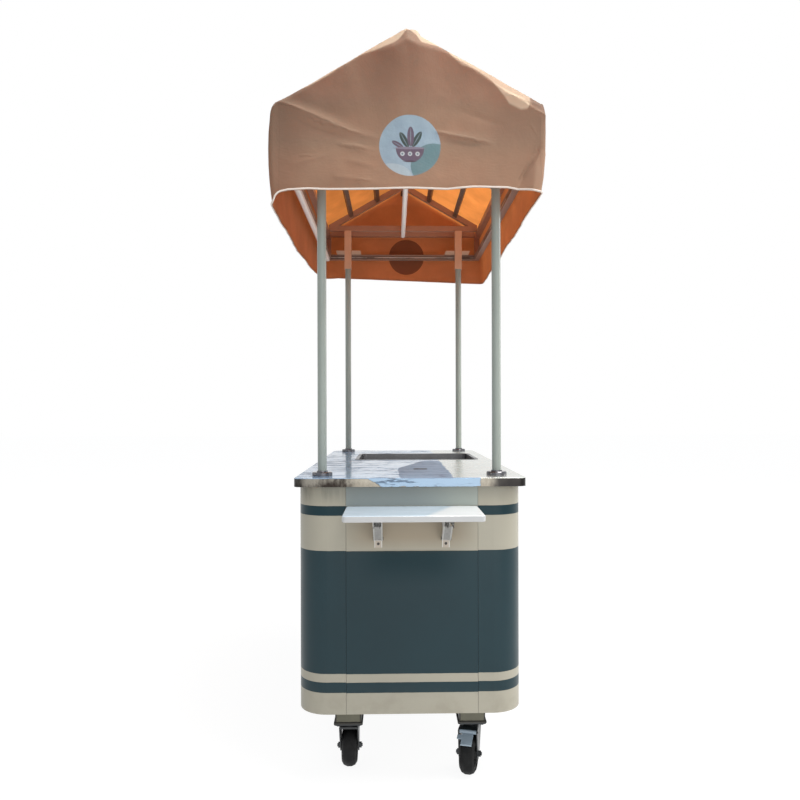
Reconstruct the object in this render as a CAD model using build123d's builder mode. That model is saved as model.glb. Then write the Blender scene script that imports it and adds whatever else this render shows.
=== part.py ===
from build123d import *
from math import atan2, cos, degrees, hypot, radians, sin
import os

# A hand-pushed food cart: a painted sheet cabinet on four swivel casters, a steel counter with a sunk pan,
# four posts with a gabled canvas canopy, a folding shelf on the front end and two doors on the right side.
# Millimetres, +Z up, floor at z = 0. The front end faces -Y and the operator stands at +X.
# The origin is on the floor, under the middle of the whole outline.

# Cabinet
CABINET_W = 680.0
CABINET_L = 1480.0
CABINET_H = 689.5
CABINET_R = 90.0  # rounded upright corners
SKIRT_H = 2.0  # panels below the base rails
SHEET = 1.2
SEAM_GAP = 0.8  # open joint between neighbouring panels
SEAM_FOLD = 15.0  # inward return along a panel's upright edges
CORNER_W = 142.0  # a corner panel's reach along the end
CORNER_L = 140.0  # a corner panel's reach along the side
FLOOR_LIP = 25.0

# Cabinet frame of square tube
TUBE = 30.0
TUBE_WALL = 2.0
FRAME_GAP = 0.8  # uprights to the floor pan's edge
BASE_INSET = 40.0  # base rails short of the cabinet's ends
CROSS_INSET = 10.0  # cross rails short of the cabinet's sides
INNER_SHELF_H = 275.0  # above the floor pan
INNER_SHELF_GAP = 6.0
INNER_SHELF_LIP = 18.0
BEARER_W = 20.0

# Counter
COUNTER_HANG_W = 10.0  # counter beyond the cabinet
COUNTER_R = 25.0
COUNTER_SHEET = 1.5
COUNTER_LIP = 26.0
COUNTER_EDGE = 2.0  # bend radius along the top edge
BOARD_T = 18.0
BOARD_GAP = 0.5  # board to the folded lip
PAN_W = 486.0
PAN_L = 390.0
PAN_X = 46.0
PAN_Y = 255.0
PAN_R = 22.0
PAN_DEPTH = 150.0
PAN_DRAFT = 4.0
PAN_FLOOR_R = 14.0
PAN_RIM = 12.0
PAN_GAP = 1.5  # bowl to the cut edge of the counter
PAN_RAIL_GAP = 5.0  # bowl to the rails that carry the counter beside it

# Doors on the operator's side
DOOR_SILL_H = 32.0  # floor pan to the doors
DOOR_HEAD_H = 32.5  # doors to the cabinet's top
DOOR_STILE_W = 28.0  # opening to the side panel's upright edges
DOOR_GAP = 2.0
DOOR_DEPTH = 19.5
DOOR_R = 8.0
DOOR_REST_GAP = 0.5  # door edge to the post behind it
OPENING_FOLD = 16.0
HINGE_H = 60.0
HINGE_LEAF_W = 22.0
HINGE_LEAF_T = 1.5
HINGE_OUT = 5.0  # hinge axis to the door face
HINGE_PIN_R = 2.5
HINGE_END_GAP = 0.4
HINGE_INSET_Z = 90.0  # hinge middle to the door's top or bottom edge
KNUCKLE_GAP = 0.6  # knuckle to the door face and to the other leaf
RUNNING_GAP = 0.1  # clearance round a turning pin
HANDLE_L = 130.0
HANDLE_OUT = 32.0
HANDLE_R = 5.0
HANDLE_BEND = 14.0
HANDLE_INSET = 45.0
HANDLE_FOOT_R = 8.0
HANDLE_FOOT_T = 3.0

# Posts
POST_D = 28.0
POST_WALL = 2.0
POST_INSET_X = 78.0  # post axis to the counter's side
POST_INSET_Y = 95.0  # post axis to the counter's end
FLANGE_RIM = 14.3  # flange beyond its collar
FLANGE_T = 12.0
FLANGE_EDGE = 2.5
COLLAR_WALL = 3.0
COLLAR_H = 16.0
POST_FIT = 0.2

# Canopy frame
CANOPY_TUBE = 25.0
CANOPY_WALL = 1.5
CANOPY_HANG_X = 40.0  # canopy frame beyond the counter's sides
CANOPY_HANG_Y = 32.5  # canopy frame beyond the counter's ends
HEADROOM_H = 968.5  # counter to the lower rails
WALL_H = 105.0  # lower rails to upper rails
CROSS_RISE_Z = 13.0  # the cross rails sit this much higher than the side rails
ROOF_RISE_Z = 224.0
PURLIN_W = 20.0
PURLIN_PITCH = 128.5
PURLINS_A_SIDE = 2
SLEEVE_WALL = 2.0
SLEEVE_PLAY = 0.5  # sleeve to the post
SLEEVE_DROP = 69.5  # sleeve below the lower rails
GUSSET_W = 120.0
GUSSET_T = 3.0
BATTEN_W = 20.0
BATTEN_H = 18.0
BATTEN_OVER = 58.0  # battens past the posts
BATTEN_EDGE = 5.0

# Canvas cover
CLOTH_T = 1.5
CLOTH_GAP = 1.0  # cloth to the frame
WALL_FLARE_W = 16.0  # the walls lean out towards the hem
HEM_DROP = 113.5  # middle of the hem below the lower rails
HEM_DIP_FRONT_LEFT = 53.0  # further drop of the hem at each corner
HEM_DIP_FRONT_RIGHT = 19.0
HEM_DIP_REAR_LEFT = -15.0
HEM_DIP_REAR_RIGHT = 7.0
HEM_CURL_LEFT = 110.0  # length of hem that droops into a corner
HEM_CURL_RIGHT = 130.0

# Folding shelf
SHELF_X = 5.0
SHELF_INSET = 1.0  # shelf short of the end panel's edges
SHELF_DEPTH = 200.0
SHELF_T = 18.0
SHELF_DROP = 65.5  # shelf top below the cabinet's top
SHELF_GAP = 1.0  # back edge to the cabinet
SHELF_R = 10.0
SHELF_EDGE = 2.5
BRACKET_PITCH = 203.0
BRACKET_SHEET = 1.8
PIN_OUT = 14.0  # bracket pins to the cabinet face
PIN_R = 3.0
PIN_HEAD_R = 5.0
PIN_HEAD_T = 1.5
PIN_DROP = 12.0  # hinge pin below the board
PIN_SPAN = 65.0  # hinge pin to strut pin
ARM_W = 18.0
ARM_LIP = 6.0
ARM_TIP_GAP = 3.0
NOTCH_FIT = 0.6
STRUT_REACH_L = 90.0  # strut stud to the hinge pin when open
BRACKET_PLAY = 0.5
PLATE_HEEL = 29.0  # wall plate below the strut pin
PLATE_EAR = 9.0  # wall plate flanges below the strut pin
PLATE_BACK = 2.0
STRUT_END_R = 7.0
STRUT_LIP = 5.0
WEB_OUT = 10.4
WEB_START = 16.0
WEB_STOP = 14.0

# Casters
CASTER_INSET_X = 148.0  # swivel axis to the cabinet's side
CASTER_INSET_Y = 120.0  # swivel axis to the cabinet's end
WHEEL_D = 125.0
TYRE_W = 48.0
TYRE_T = 16.5
TYRE_CROWN = 14.0  # side edge below the tread
TREAD_W = 14.0
HAUNCH_W = 36.0
HAUNCH_DROP = 4.7
TYRE_BEAD = 4.0
RIM_T = 6.0
WEB_T = 9.0
HUB_D = 32.0
HUB_PLAY = 1.0  # hub end to the fork
AXLE_D = 10.0
AXLE_FIT = 0.1
AXLE_TAIL = 3.0
NUT_R = 9.0
NUT_T = 7.0
TRAIL_X = 32.0
TYRE_PLAY = 3.0  # tyre to the fork
FORK_SHEET = 3.5
FORK_BEND = 3.0
FORK_ROOM = 17.0  # wheel to the fork's crown
CHEEK_R = 17.0
CROWN_L = 64.0
CROWN_T = 4.0
TURNTABLE_D = 54.0
TURNTABLE_H = 6.4
RACE_D = 60.0
RACE_H = 8.0
RACE_GAP = 0.6
RACE_EDGE = 2.0
KING_PIN_D = 12.0
KING_HEAD_D = 22.0
KING_HEAD_T = 5.0
KING_FIT = 0.4
PLATE_W = 89.0
PLATE_L = 110.0
PLATE_T = 4.0
PLATE_R = 8.0
BOLT_EDGE_X = 13.5  # bolt axis to the plate's edge
BOLT_EDGE_Y = 14.0
BOLT_D = 8.0
BOLT_FIT = 0.5
BOLT_HEAD_R = 7.0
BOLT_HEAD_T = 5.5
RISER_H = 60.0
RISER_RIM = 4.0  # riser plates beyond its box
RISER_WALL = 4.0
RISER_BORE = 50.0

# Brake pedals
PEDAL_X = 48.0
PEDAL_ROOM = 9.0  # pedal pin above the wheel
PEDAL_W = 34.0
PEDAL_T = 3.0
PEDAL_L = 49.0
PEDAL_SLOPE = 26.5
PEDAL_TIP_R = 2.6
LUG_NEAR = 14.0  # pin axis to the foot lug
LUG_L = 15.0
LUG_OUT = 31.0
BARREL_R = 6.5
BARREL_GAP = 0.6
EAR_R = 9.0
SHOE_L = 12.0
SHOE_T = 3.0
SHOE_OUT = 15.0
PEDAL_PIN_D = 6.0

# Where the casters stand and which way each one trails, in degrees from +X
CORNERS = {
    "front_left": (-1, -1, 90.0),
    "front_right": (1, -1, -105.0),
    "rear_left": (-1, 1, 90.0),
    "rear_right": (1, 1, 90.0),
}
BRAKED = ("front_left", "front_right")

# Places and sizes worked out from the ones above
COUNTER_W = CABINET_W + 2 * COUNTER_HANG_W
COUNTER_L = CABINET_L + 2 * COUNTER_HANG_W
CANOPY_FRAME_W = COUNTER_W + 2 * CANOPY_HANG_X
CANOPY_FRAME_L = COUNTER_L + 2 * CANOPY_HANG_Y
FRONT_REACH = CABINET_L / 2 + SHELF_GAP + SHELF_DEPTH
REAR_REACH = CANOPY_FRAME_L / 2 + CLOTH_GAP + CLOTH_T
MID_Y = (FRONT_REACH - REAR_REACH) / 2
FRONT_Y = MID_Y - CABINET_L / 2

CROWN_UNDER = WHEEL_D + FORK_ROOM
CROWN_TOP = CROWN_UNDER + CROWN_T
RACE_Z = CROWN_TOP + TURNTABLE_H + RACE_GAP
PLATE_Z = RACE_Z + RACE_H
CASTER_H = PLATE_Z + PLATE_T
BASE_Z = CASTER_H + RISER_H
CROSS_Z = BASE_Z + TUBE
FLOOR_Z = CROSS_Z + TUBE
UPRIGHT_FOOT = FLOOR_Z + SHEET
CABINET_BOTTOM = BASE_Z - SKIRT_H
CABINET_TOP = CABINET_BOTTOM + CABINET_H
TOP_RAIL_Z = CABINET_TOP - TUBE
COUNTER_UNDER = CABINET_TOP + BOARD_T
COUNTER_TOP = COUNTER_UNDER + COUNTER_SHEET
LOWER_RAIL_Z = COUNTER_TOP + HEADROOM_H
UPPER_RAIL_Z = LOWER_RAIL_Z + WALL_H
CROSS_RAIL_Z = UPPER_RAIL_Z + CROSS_RISE_Z

CASTER_X = CABINET_W / 2 - CASTER_INSET_X
CASTER_Y = CABINET_L / 2 - CASTER_INSET_Y
FLOOR_INSET = SHEET + SEAM_FOLD + SEAM_GAP
UPRIGHT_X = CABINET_W / 2 - FLOOR_INSET - SHEET - FRAME_GAP - TUBE / 2
UPRIGHT_Y = CABINET_L / 2 - CABINET_R - TUBE / 2
POST_X = COUNTER_W / 2 - POST_INSET_X
POST_Y = COUNTER_L / 2 - POST_INSET_Y
POST_SPOTS = [(sx * POST_X, sy * POST_Y) for sx in (-1, 1) for sy in (-1, 1)]
UPRIGHT_SPOTS = [(sx * UPRIGHT_X, sy * UPRIGHT_Y) for sx in (-1, 1) for sy in (-1, 1)]
CASTER_SPOTS = [(sx * CASTER_X, sy * CASTER_Y) for sx, sy, turn in CORNERS.values()]


def level(height):
    """A level plane over the middle of the cart."""
    return Plane((0, MID_Y, height))


def across(y):
    """An upright plane across the cart, y from its middle, that faces the front end."""
    return Plane((0, MID_Y + y, 0), x_dir=(1, 0, 0), z_dir=(0, -1, 0))


def along(x):
    """An upright plane along the cart, with +Y to its right, that faces +X."""
    return Plane((x, MID_Y, 0), x_dir=(0, 1, 0), z_dir=(1, 0, 0))


def bracket_side(x):
    """A side view of the folding shelf: distance out from the cabinet face, and height."""
    return Plane((x, FRONT_Y, 0), x_dir=(0, -1, 0), z_dir=(-1, 0, 0))


def tubes(plane, spots, length, size, wall):
    """Square tubes of one length that run from a plane, open at both ends."""
    with BuildPart() as bars:
        with BuildSketch(plane):
            with Locations(*spots):
                Rectangle(size, size)
                Rectangle(size - 2 * wall, size - 2 * wall, mode=Mode.SUBTRACT)
        extrude(amount=length)
    return bars.part


def rails_along(spots, length, size, wall):
    """Square tubes along the cart, centred on its middle, at places across and up."""
    return tubes(across(length / 2), spots, length, size, wall)


def rails_across(spots, width, size, wall):
    """Square tubes across the cart at places along and up."""
    return tubes(along(-width / 2), spots, width, size, wall)


def write(name, *pieces):
    """Labels a piece, or a group of separate solids, and writes it to a file of its own."""
    solids = [solid for piece in pieces for solid in piece.solids()]
    node = solids[0] if len(solids) == 1 else Compound(solids)
    node.label = name
    export_step(node, f"parts/{name}.step")


os.makedirs("parts", exist_ok=True)

# Risers between the casters and the base rails
RISER_W = PLATE_W - 2 * RISER_RIM
RISER_L = PLATE_L - 2 * RISER_RIM
BOLT_W = PLATE_W - 2 * BOLT_EDGE_X
BOLT_L = PLATE_L - 2 * BOLT_EDGE_Y
with BuildPart() as risers:
    for foot in (CASTER_H, BASE_Z - RISER_WALL):
        with BuildSketch(level(foot)):
            with Locations(*CASTER_SPOTS):
                Rectangle(PLATE_W, PLATE_L)
        extrude(amount=RISER_WALL)
    with BuildSketch(level(CASTER_H)):
        with Locations(*CASTER_SPOTS):
            Rectangle(RISER_W, RISER_L)
            Rectangle(RISER_W - 2 * RISER_WALL, RISER_L - 2 * RISER_WALL, mode=Mode.SUBTRACT)
    extrude(amount=RISER_H)
    with BuildSketch(level(CASTER_H)):
        with Locations(*CASTER_SPOTS):
            Circle(RISER_BORE / 2)
            with GridLocations(BOLT_W, BOLT_L, 2, 2):
                Circle(BOLT_D / 2 + BOLT_FIT)
    extrude(amount=RISER_WALL, mode=Mode.SUBTRACT)
write("caster_risers", risers.part)

# Caster top plates with the fixed half of the ball race
with BuildPart() as plates:
    with BuildSketch(level(PLATE_Z)):
        with Locations(*CASTER_SPOTS):
            RectangleRounded(PLATE_W, PLATE_L, PLATE_R)
    extrude(amount=PLATE_T)
    with BuildSketch(level(RACE_Z)):
        with Locations(*CASTER_SPOTS):
            Circle(RACE_D / 2)
    extrude(amount=RACE_H)
    chamfer(plates.edges().filter_by(GeomType.CIRCLE).group_by(Axis.Z)[0], RACE_EDGE)
    with BuildSketch(level(CASTER_H)):
        with Locations(*CASTER_SPOTS):
            Circle(KING_PIN_D / 2)
            with GridLocations(BOLT_W, BOLT_L, 2, 2):
                Circle(BOLT_D / 2 + BOLT_FIT)
    extrude(amount=-PLATE_T - RACE_H, mode=Mode.SUBTRACT)
write("caster_plates", plates.part)

# Plate bolts, heads below
with BuildPart() as plate_bolts:
    with BuildSketch(level(PLATE_Z - BOLT_HEAD_T)):
        with Locations(*CASTER_SPOTS):
            with GridLocations(BOLT_W, BOLT_L, 2, 2):
                RegularPolygon(BOLT_HEAD_R, 6)
    extrude(amount=BOLT_HEAD_T)
    with BuildSketch(level(PLATE_Z)):
        with Locations(*CASTER_SPOTS):
            with GridLocations(BOLT_W, BOLT_L, 2, 2):
                Circle(BOLT_D / 2)
    extrude(amount=PLATE_T + RISER_WALL)
write("caster_bolts", plate_bolts.part)

# King pins, riveted into the plates, that hold the forks up
with BuildPart() as king_pins:
    with BuildSketch(level(CASTER_H)):
        with Locations(*CASTER_SPOTS):
            Circle(KING_PIN_D / 2)
    extrude(amount=CROWN_UNDER - KING_FIT - CASTER_H)
    with BuildSketch(level(CROWN_UNDER - KING_FIT)):
        with Locations(*CASTER_SPOTS):
            Circle(KING_HEAD_D / 2)
    extrude(amount=-KING_HEAD_T)
write("king_pins", king_pins.part)

# One caster at the origin: it trails along +X, its axle lies along Y and it swivels about Z
AXLE_Z = WHEEL_D / 2
PEDAL_Z = WHEEL_D + PEDAL_ROOM
RIM_D = WHEEL_D - 2 * TYRE_T
RIM_W = TYRE_W - 2 * TYRE_BEAD
FORK_GAP = TYRE_W + 2 * TYRE_PLAY
HUB_L = FORK_GAP - 2 * HUB_PLAY
FORK_W = FORK_GAP + 2 * FORK_SHEET
AXLE_MID = Plane((TRAIL_X, 0, AXLE_Z))
AXLE_AXIS = Axis((TRAIL_X, 0, AXLE_Z), (0, 1, 0))


def caster_fork(braked):
    """The pressed fork with its turntable, and ears for the pedal pin on a braked one."""
    with BuildPart() as fork:
        with BuildSketch(Plane.XZ):
            with Locations((0, CROWN_TOP - CROWN_T / 2)):
                Rectangle(CROWN_L, CROWN_T)
            with Locations((TRAIL_X, AXLE_Z)):
                Circle(CHEEK_R)
            if braked:
                with Locations((PEDAL_X, PEDAL_Z)):
                    Circle(EAR_R)
            make_hull()
        extrude(amount=FORK_W / 2, both=True)
        chamfer(fork.edges().filter_by(Axis.X).group_by(Axis.Z)[-1], FORK_BEND)
        with BuildSketch(Plane.XZ):
            with Locations((TRAIL_X, CROWN_UNDER)):
                Rectangle(WHEEL_D, WHEEL_D, align=(Align.CENTER, Align.MAX))
        extrude(amount=FORK_GAP / 2, both=True, mode=Mode.SUBTRACT)
        with BuildSketch(Plane.XY.offset(CROWN_TOP)):
            Circle(TURNTABLE_D / 2)
        extrude(amount=TURNTABLE_H)
        with BuildSketch(Plane.XY.offset(CROWN_UNDER)):
            Circle(KING_PIN_D / 2 + KING_FIT)
        extrude(amount=CROWN_T + TURNTABLE_H, mode=Mode.SUBTRACT)
        with BuildSketch(Plane.XZ):
            with Locations((TRAIL_X, AXLE_Z)):
                Circle(AXLE_D / 2)
            if braked:
                with Locations((PEDAL_X, PEDAL_Z)):
                    Circle(PEDAL_PIN_D / 2)
        extrude(amount=FORK_W, both=True, mode=Mode.SUBTRACT)
    return fork.part


plain_fork = caster_fork(False)
braked_fork = caster_fork(True)

with BuildPart() as pedal_pin:
    with BuildSketch(Plane.XZ):
        with Locations((PEDAL_X, PEDAL_Z)):
            Circle(PEDAL_PIN_D / 2)
    extrude(amount=FORK_W / 2 + PIN_HEAD_T, both=True)

with BuildPart() as axle:
    with BuildSketch(Plane.XZ):
        with Locations((TRAIL_X, AXLE_Z)):
            Circle(AXLE_D / 2)
    extrude(amount=FORK_W / 2 + NUT_T + AXLE_TAIL, both=True)
    for side in (-1, 1):
        with BuildSketch(Plane.XZ.offset(side * FORK_W / 2)):
            with Locations((TRAIL_X, AXLE_Z)):
                RegularPolygon(NUT_R, 6)
        extrude(amount=side * NUT_T)

with BuildPart() as hub:
    with BuildSketch(AXLE_MID):
        with BuildLine():
            rim_r = RIM_D / 2
            bore_r = AXLE_D / 2 + AXLE_FIT
            half = [
                (bore_r, HUB_L / 2),
                (HUB_D / 2, HUB_L / 2),
                (HUB_D / 2, WEB_T / 2),
                (rim_r - RIM_T, WEB_T / 2),
                (rim_r - RIM_T, RIM_W / 2),
                (rim_r, RIM_W / 2),
            ]
            Polyline(*half, *[(r, -y) for r, y in reversed(half)], close=True)
        make_face()
    revolve(axis=AXLE_AXIS)

with BuildPart() as tyre:
    with BuildSketch(AXLE_MID):
        with BuildLine():
            wheel_r = WHEEL_D / 2
            half = [
                (RIM_D / 2, TYRE_W / 2 - TYRE_BEAD),
                (wheel_r - TYRE_CROWN, TYRE_W / 2),
                (wheel_r - HAUNCH_DROP, HAUNCH_W / 2),
                (wheel_r, TREAD_W / 2),
            ]
            Polyline(*half, *[(r, -y) for r, y in reversed(half)], close=True)
        make_face()
    revolve(axis=AXLE_AXIS)

with BuildPart() as pedal:
    slope = radians(PEDAL_SLOPE)
    with BuildSketch(Plane.XZ):
        with Locations((PEDAL_X, PEDAL_Z)):
            Circle(BARREL_R)
    extrude(amount=FORK_GAP / 2 - BARREL_GAP, both=True)
    with BuildSketch(Plane.XZ):
        tip = (PEDAL_X + PEDAL_L * cos(slope), PEDAL_Z - PEDAL_L * sin(slope))
        with Locations(((PEDAL_X + tip[0]) / 2, (PEDAL_Z + tip[1]) / 2)):
            Rectangle(PEDAL_L, PEDAL_T, rotation=-PEDAL_SLOPE)
        with Locations(tip):
            Circle(PEDAL_TIP_R)
        shoe_drop = (PEDAL_T + SHOE_T) / 2
        shoe_x = PEDAL_X + SHOE_OUT * cos(slope) - shoe_drop * sin(slope)
        shoe_z = PEDAL_Z - SHOE_OUT * sin(slope) - shoe_drop * cos(slope)
        with Locations((shoe_x, shoe_z)):
            Rectangle(SHOE_L, SHOE_T, rotation=-PEDAL_SLOPE)
    extrude(amount=PEDAL_W / 2, both=True)
    with BuildSketch(Plane.XZ):
        lug_mid = LUG_NEAR + LUG_L / 2
        with Locations((PEDAL_X + lug_mid * cos(slope), PEDAL_Z - lug_mid * sin(slope))):
            Rectangle(LUG_L, PEDAL_T, rotation=-PEDAL_SLOPE)
    extrude(amount=LUG_OUT)
    with BuildSketch(Plane.XZ):
        with Locations((PEDAL_X, PEDAL_Z)):
            Circle(PEDAL_PIN_D / 2 + RUNNING_GAP)
    extrude(amount=FORK_GAP, both=True, mode=Mode.SUBTRACT)

for corner, (side, end, turn) in CORNERS.items():
    spot = Location((side * CASTER_X, MID_Y + end * CASTER_Y, 0), (0, 0, turn))
    write(f"{corner}_axle", axle.part.moved(spot))
    write(f"{corner}_hub", hub.part.moved(spot))
    write(f"{corner}_tyre", tyre.part.moved(spot))
    if corner in BRAKED:
        write(f"{corner}_fork", braked_fork.moved(spot), pedal_pin.part.moved(spot))
        write(f"{corner}_pedal", pedal.part.moved(spot))
    else:
        write(f"{corner}_fork", plain_fork.moved(spot))

# Base rails: two along the cart over the risers, with cross rails on top
base_l = CABINET_L - 2 * BASE_INSET
cross_w = CABINET_W - 2 * CROSS_INSET
base_long = rails_along([(s * CASTER_X, BASE_Z + TUBE / 2) for s in (-1, 1)], base_l, TUBE, TUBE_WALL)
base_cross = rails_across(
    [(y, CROSS_Z + TUBE / 2) for y in (-UPRIGHT_Y, 0, UPRIGHT_Y)], cross_w, TUBE, TUBE_WALL
)
write("base_rails", base_long, base_cross)

# Floor pan with a turned-up edge
with BuildPart() as floor_pan:
    with BuildSketch(level(FLOOR_Z)):
        RectangleRounded(CABINET_W - 2 * FLOOR_INSET, CABINET_L - 2 * FLOOR_INSET, CABINET_R - FLOOR_INSET)
    extrude(amount=FLOOR_LIP)
    offset(amount=-SHEET, openings=floor_pan.faces().sort_by(Axis.Z)[-1])
write("floor_pan", floor_pan.part)

# Uprights, the door post behind the doors' meeting edges, and the bearers of the inner shelf
DOOR_POST_X = CABINET_W / 2 - DOOR_DEPTH - DOOR_REST_GAP - TUBE / 2
INNER_SHELF_Z = FLOOR_Z + INNER_SHELF_H
INNER_SHELF_W = 2 * UPRIGHT_X - TUBE - 2 * INNER_SHELF_GAP
upright_h = TOP_RAIL_Z - UPRIGHT_FOOT
uprights = tubes(level(UPRIGHT_FOOT), UPRIGHT_SPOTS, upright_h, TUBE, TUBE_WALL)
door_posts = tubes(
    level(UPRIGHT_FOOT), [(s * DOOR_POST_X, 0) for s in (-1, 1)], upright_h, TUBE, TUBE_WALL
)
bearer_z = INNER_SHELF_Z - BEARER_W / 2
end_bearers = rails_across(
    [(s * UPRIGHT_Y, bearer_z) for s in (-1, 1)], 2 * UPRIGHT_X - TUBE, BEARER_W, TUBE_WALL
)
mid_bearer = rails_across([(0, bearer_z)], 2 * DOOR_POST_X - TUBE, BEARER_W, TUBE_WALL)
write("cabinet_uprights", uprights, door_posts, end_bearers, mid_bearer)

# Inner shelf, a tray with turned-up long edges
with BuildPart() as inner_shelf:
    with BuildSketch(across(UPRIGHT_Y)):
        with Locations((0, INNER_SHELF_Z)):
            Rectangle(INNER_SHELF_W, INNER_SHELF_LIP, align=(Align.CENTER, Align.MIN))
        with Locations((0, INNER_SHELF_Z + SHEET)):
            Rectangle(
                INNER_SHELF_W - 2 * SHEET,
                INNER_SHELF_LIP,
                align=(Align.CENTER, Align.MIN),
                mode=Mode.SUBTRACT,
            )
    extrude(amount=2 * UPRIGHT_Y)
write("inner_shelf", inner_shelf.part)

# Top rails: two along the cart, with cross rails at its ends and on both sides of the pan
top_z = TOP_RAIL_Z + TUBE / 2
pan_rail = PAN_L / 2 + PAN_RAIL_GAP + TUBE / 2
cross_spots = [-UPRIGHT_Y, PAN_Y - pan_rail, PAN_Y + pan_rail, UPRIGHT_Y]
top_l = 2 * UPRIGHT_Y + TUBE
top_long = rails_along([(s * UPRIGHT_X, top_z) for s in (-1, 1)], top_l, TUBE, TUBE_WALL)
top_cross = rails_across([(y, top_z) for y in cross_spots], 2 * UPRIGHT_X - TUBE, TUBE, TUBE_WALL)
write("top_rails", top_long, top_cross)

# Panels: one rounded ring of sheet, parted at the seams, with a fold along each seam
END_PANEL_W = CABINET_W - 2 * CORNER_W
SIDE_PANEL_L = CABINET_L - 2 * CORNER_L
corner_gap_w = END_PANEL_W + 2 * SEAM_GAP
corner_gap_l = SIDE_PANEL_L + 2 * SEAM_GAP
inner_w = CABINET_W - 2 * SHEET
inner_l = CABINET_L - 2 * SHEET
fold_mid = SEAM_FOLD / 2 + SHEET

with BuildPart() as corner_panels:
    with BuildSketch(level(CABINET_BOTTOM)):
        RectangleRounded(CABINET_W, CABINET_L, CABINET_R)
        RectangleRounded(inner_w, inner_l, CABINET_R - SHEET, mode=Mode.SUBTRACT)
        with Locations((SHELF_X, 0)):
            Rectangle(corner_gap_w, CABINET_L, mode=Mode.SUBTRACT)
        Rectangle(CABINET_W, corner_gap_l, mode=Mode.SUBTRACT)
        for side in (-1, 1):
            fold_x = SHELF_X + side * (corner_gap_w + SHEET) / 2
            with Locations(*[(fold_x, end * (CABINET_L / 2 - fold_mid)) for end in (-1, 1)]):
                Rectangle(SHEET, SEAM_FOLD)
            fold_y = (corner_gap_l + SHEET) / 2
            with Locations(*[(side * (CABINET_W / 2 - fold_mid), end * fold_y) for end in (-1, 1)]):
                Rectangle(SEAM_FOLD, SHEET)
    extrude(amount=CABINET_H)
write("corner_panels", corner_panels.part)

for name, end in (("front_end_panel", -1), ("rear_end_panel", 1)):
    with BuildPart() as end_panel:
        with BuildSketch(level(CABINET_BOTTOM)):
            with Locations((SHELF_X, end * (CABINET_L - SHEET) / 2)):
                Rectangle(END_PANEL_W, SHEET)
            fold_x = (END_PANEL_W - SHEET) / 2
            with Locations(*[(SHELF_X + s * fold_x, end * (CABINET_L / 2 - fold_mid)) for s in (-1, 1)]):
                Rectangle(SHEET, SEAM_FOLD)
        extrude(amount=CABINET_H)
    write(name, end_panel.part)


def side_skin(side):
    """A flat side panel with a fold along each upright edge, to be cut or left plain."""
    with BuildSketch(level(CABINET_BOTTOM)) as skin_outline:
        with Locations((side * (CABINET_W - SHEET) / 2, 0)):
            Rectangle(SHEET, SIDE_PANEL_L)
        fold_y = (SIDE_PANEL_L - SHEET) / 2
        with Locations(*[(side * (CABINET_W / 2 - fold_mid), end * fold_y) for end in (-1, 1)]):
            Rectangle(SEAM_FOLD, SHEET)
    extrude(skin_outline.sketch, amount=CABINET_H)


with BuildPart() as customer_side:
    side_skin(-1)
write("customer_side_panel", customer_side.part)

# The operator's side has the door opening, with its edge folded inwards
DOOR_FACE = CABINET_W / 2
DOOR_BOTTOM = FLOOR_Z + DOOR_SILL_H
DOOR_TOP = CABINET_TOP - DOOR_HEAD_H
DOOR_W = SIDE_PANEL_L / 2 - DOOR_STILE_W - DOOR_GAP
opening_l = 2 * (DOOR_W + DOOR_GAP)
opening_h = DOOR_TOP - DOOR_BOTTOM + 2 * DOOR_GAP
door_mid_z = (DOOR_TOP + DOOR_BOTTOM) / 2
with BuildPart() as operator_side:
    side_skin(1)
    with BuildSketch(along(DOOR_FACE)):
        with Locations((0, door_mid_z)):
            RectangleRounded(opening_l + 2 * SHEET, opening_h + 2 * SHEET, DOOR_R + SHEET)
    extrude(amount=-OPENING_FOLD)
    with BuildSketch(along(DOOR_FACE)):
        with Locations((0, door_mid_z)):
            RectangleRounded(opening_l, opening_h, DOOR_R)
    extrude(amount=-OPENING_FOLD, mode=Mode.SUBTRACT)
write("operator_side_panel", operator_side.part)

# Doors, folded pans that swing on butt hinges at their outer edges
HINGE_X = DOOR_FACE + HINGE_OUT
HINGE_Y = DOOR_W + DOOR_GAP
HINGE_Z = (DOOR_BOTTOM + HINGE_INSET_Z, DOOR_TOP - HINGE_INSET_Z)
LEAF_X = DOOR_FACE + HINGE_LEAF_T / 2
KNUCKLE_R = HINGE_OUT - KNUCKLE_GAP
knuckle_h = HINGE_H / 3


def hinge_leaf(end, fixed):
    """The leaves of one door's hinges: the door's middle knuckles, or the panel's outer ones."""
    edge = end * HINGE_Y
    towards = end if fixed else -end
    spans = (-1, 1) if fixed else (0,)
    with BuildPart() as leaf:
        for middle in HINGE_Z:
            foot = middle - HINGE_H / 2
            with BuildSketch(level(foot)):
                with Locations((LEAF_X, edge + towards * (HINGE_OUT + HINGE_LEAF_W / 2))):
                    Rectangle(HINGE_LEAF_T, HINGE_LEAF_W)
            extrude(amount=HINGE_H)
            for span in spans:
                with BuildSketch(level(middle + span * knuckle_h - knuckle_h / 2 + HINGE_END_GAP / 2)):
                    with Locations((HINGE_X, edge)):
                        Circle(KNUCKLE_R)
                    with Locations((LEAF_X, edge + towards * HINGE_OUT / 2)):
                        Rectangle(HINGE_LEAF_T, HINGE_OUT)
                    with Locations((HINGE_X, edge)):
                        Circle(HINGE_PIN_R + (0 if fixed else RUNNING_GAP), mode=Mode.SUBTRACT)
                extrude(amount=knuckle_h - HINGE_END_GAP)
    return leaf.part


write("hinge_leaves", hinge_leaf(-1, True), hinge_leaf(1, True))

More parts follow.
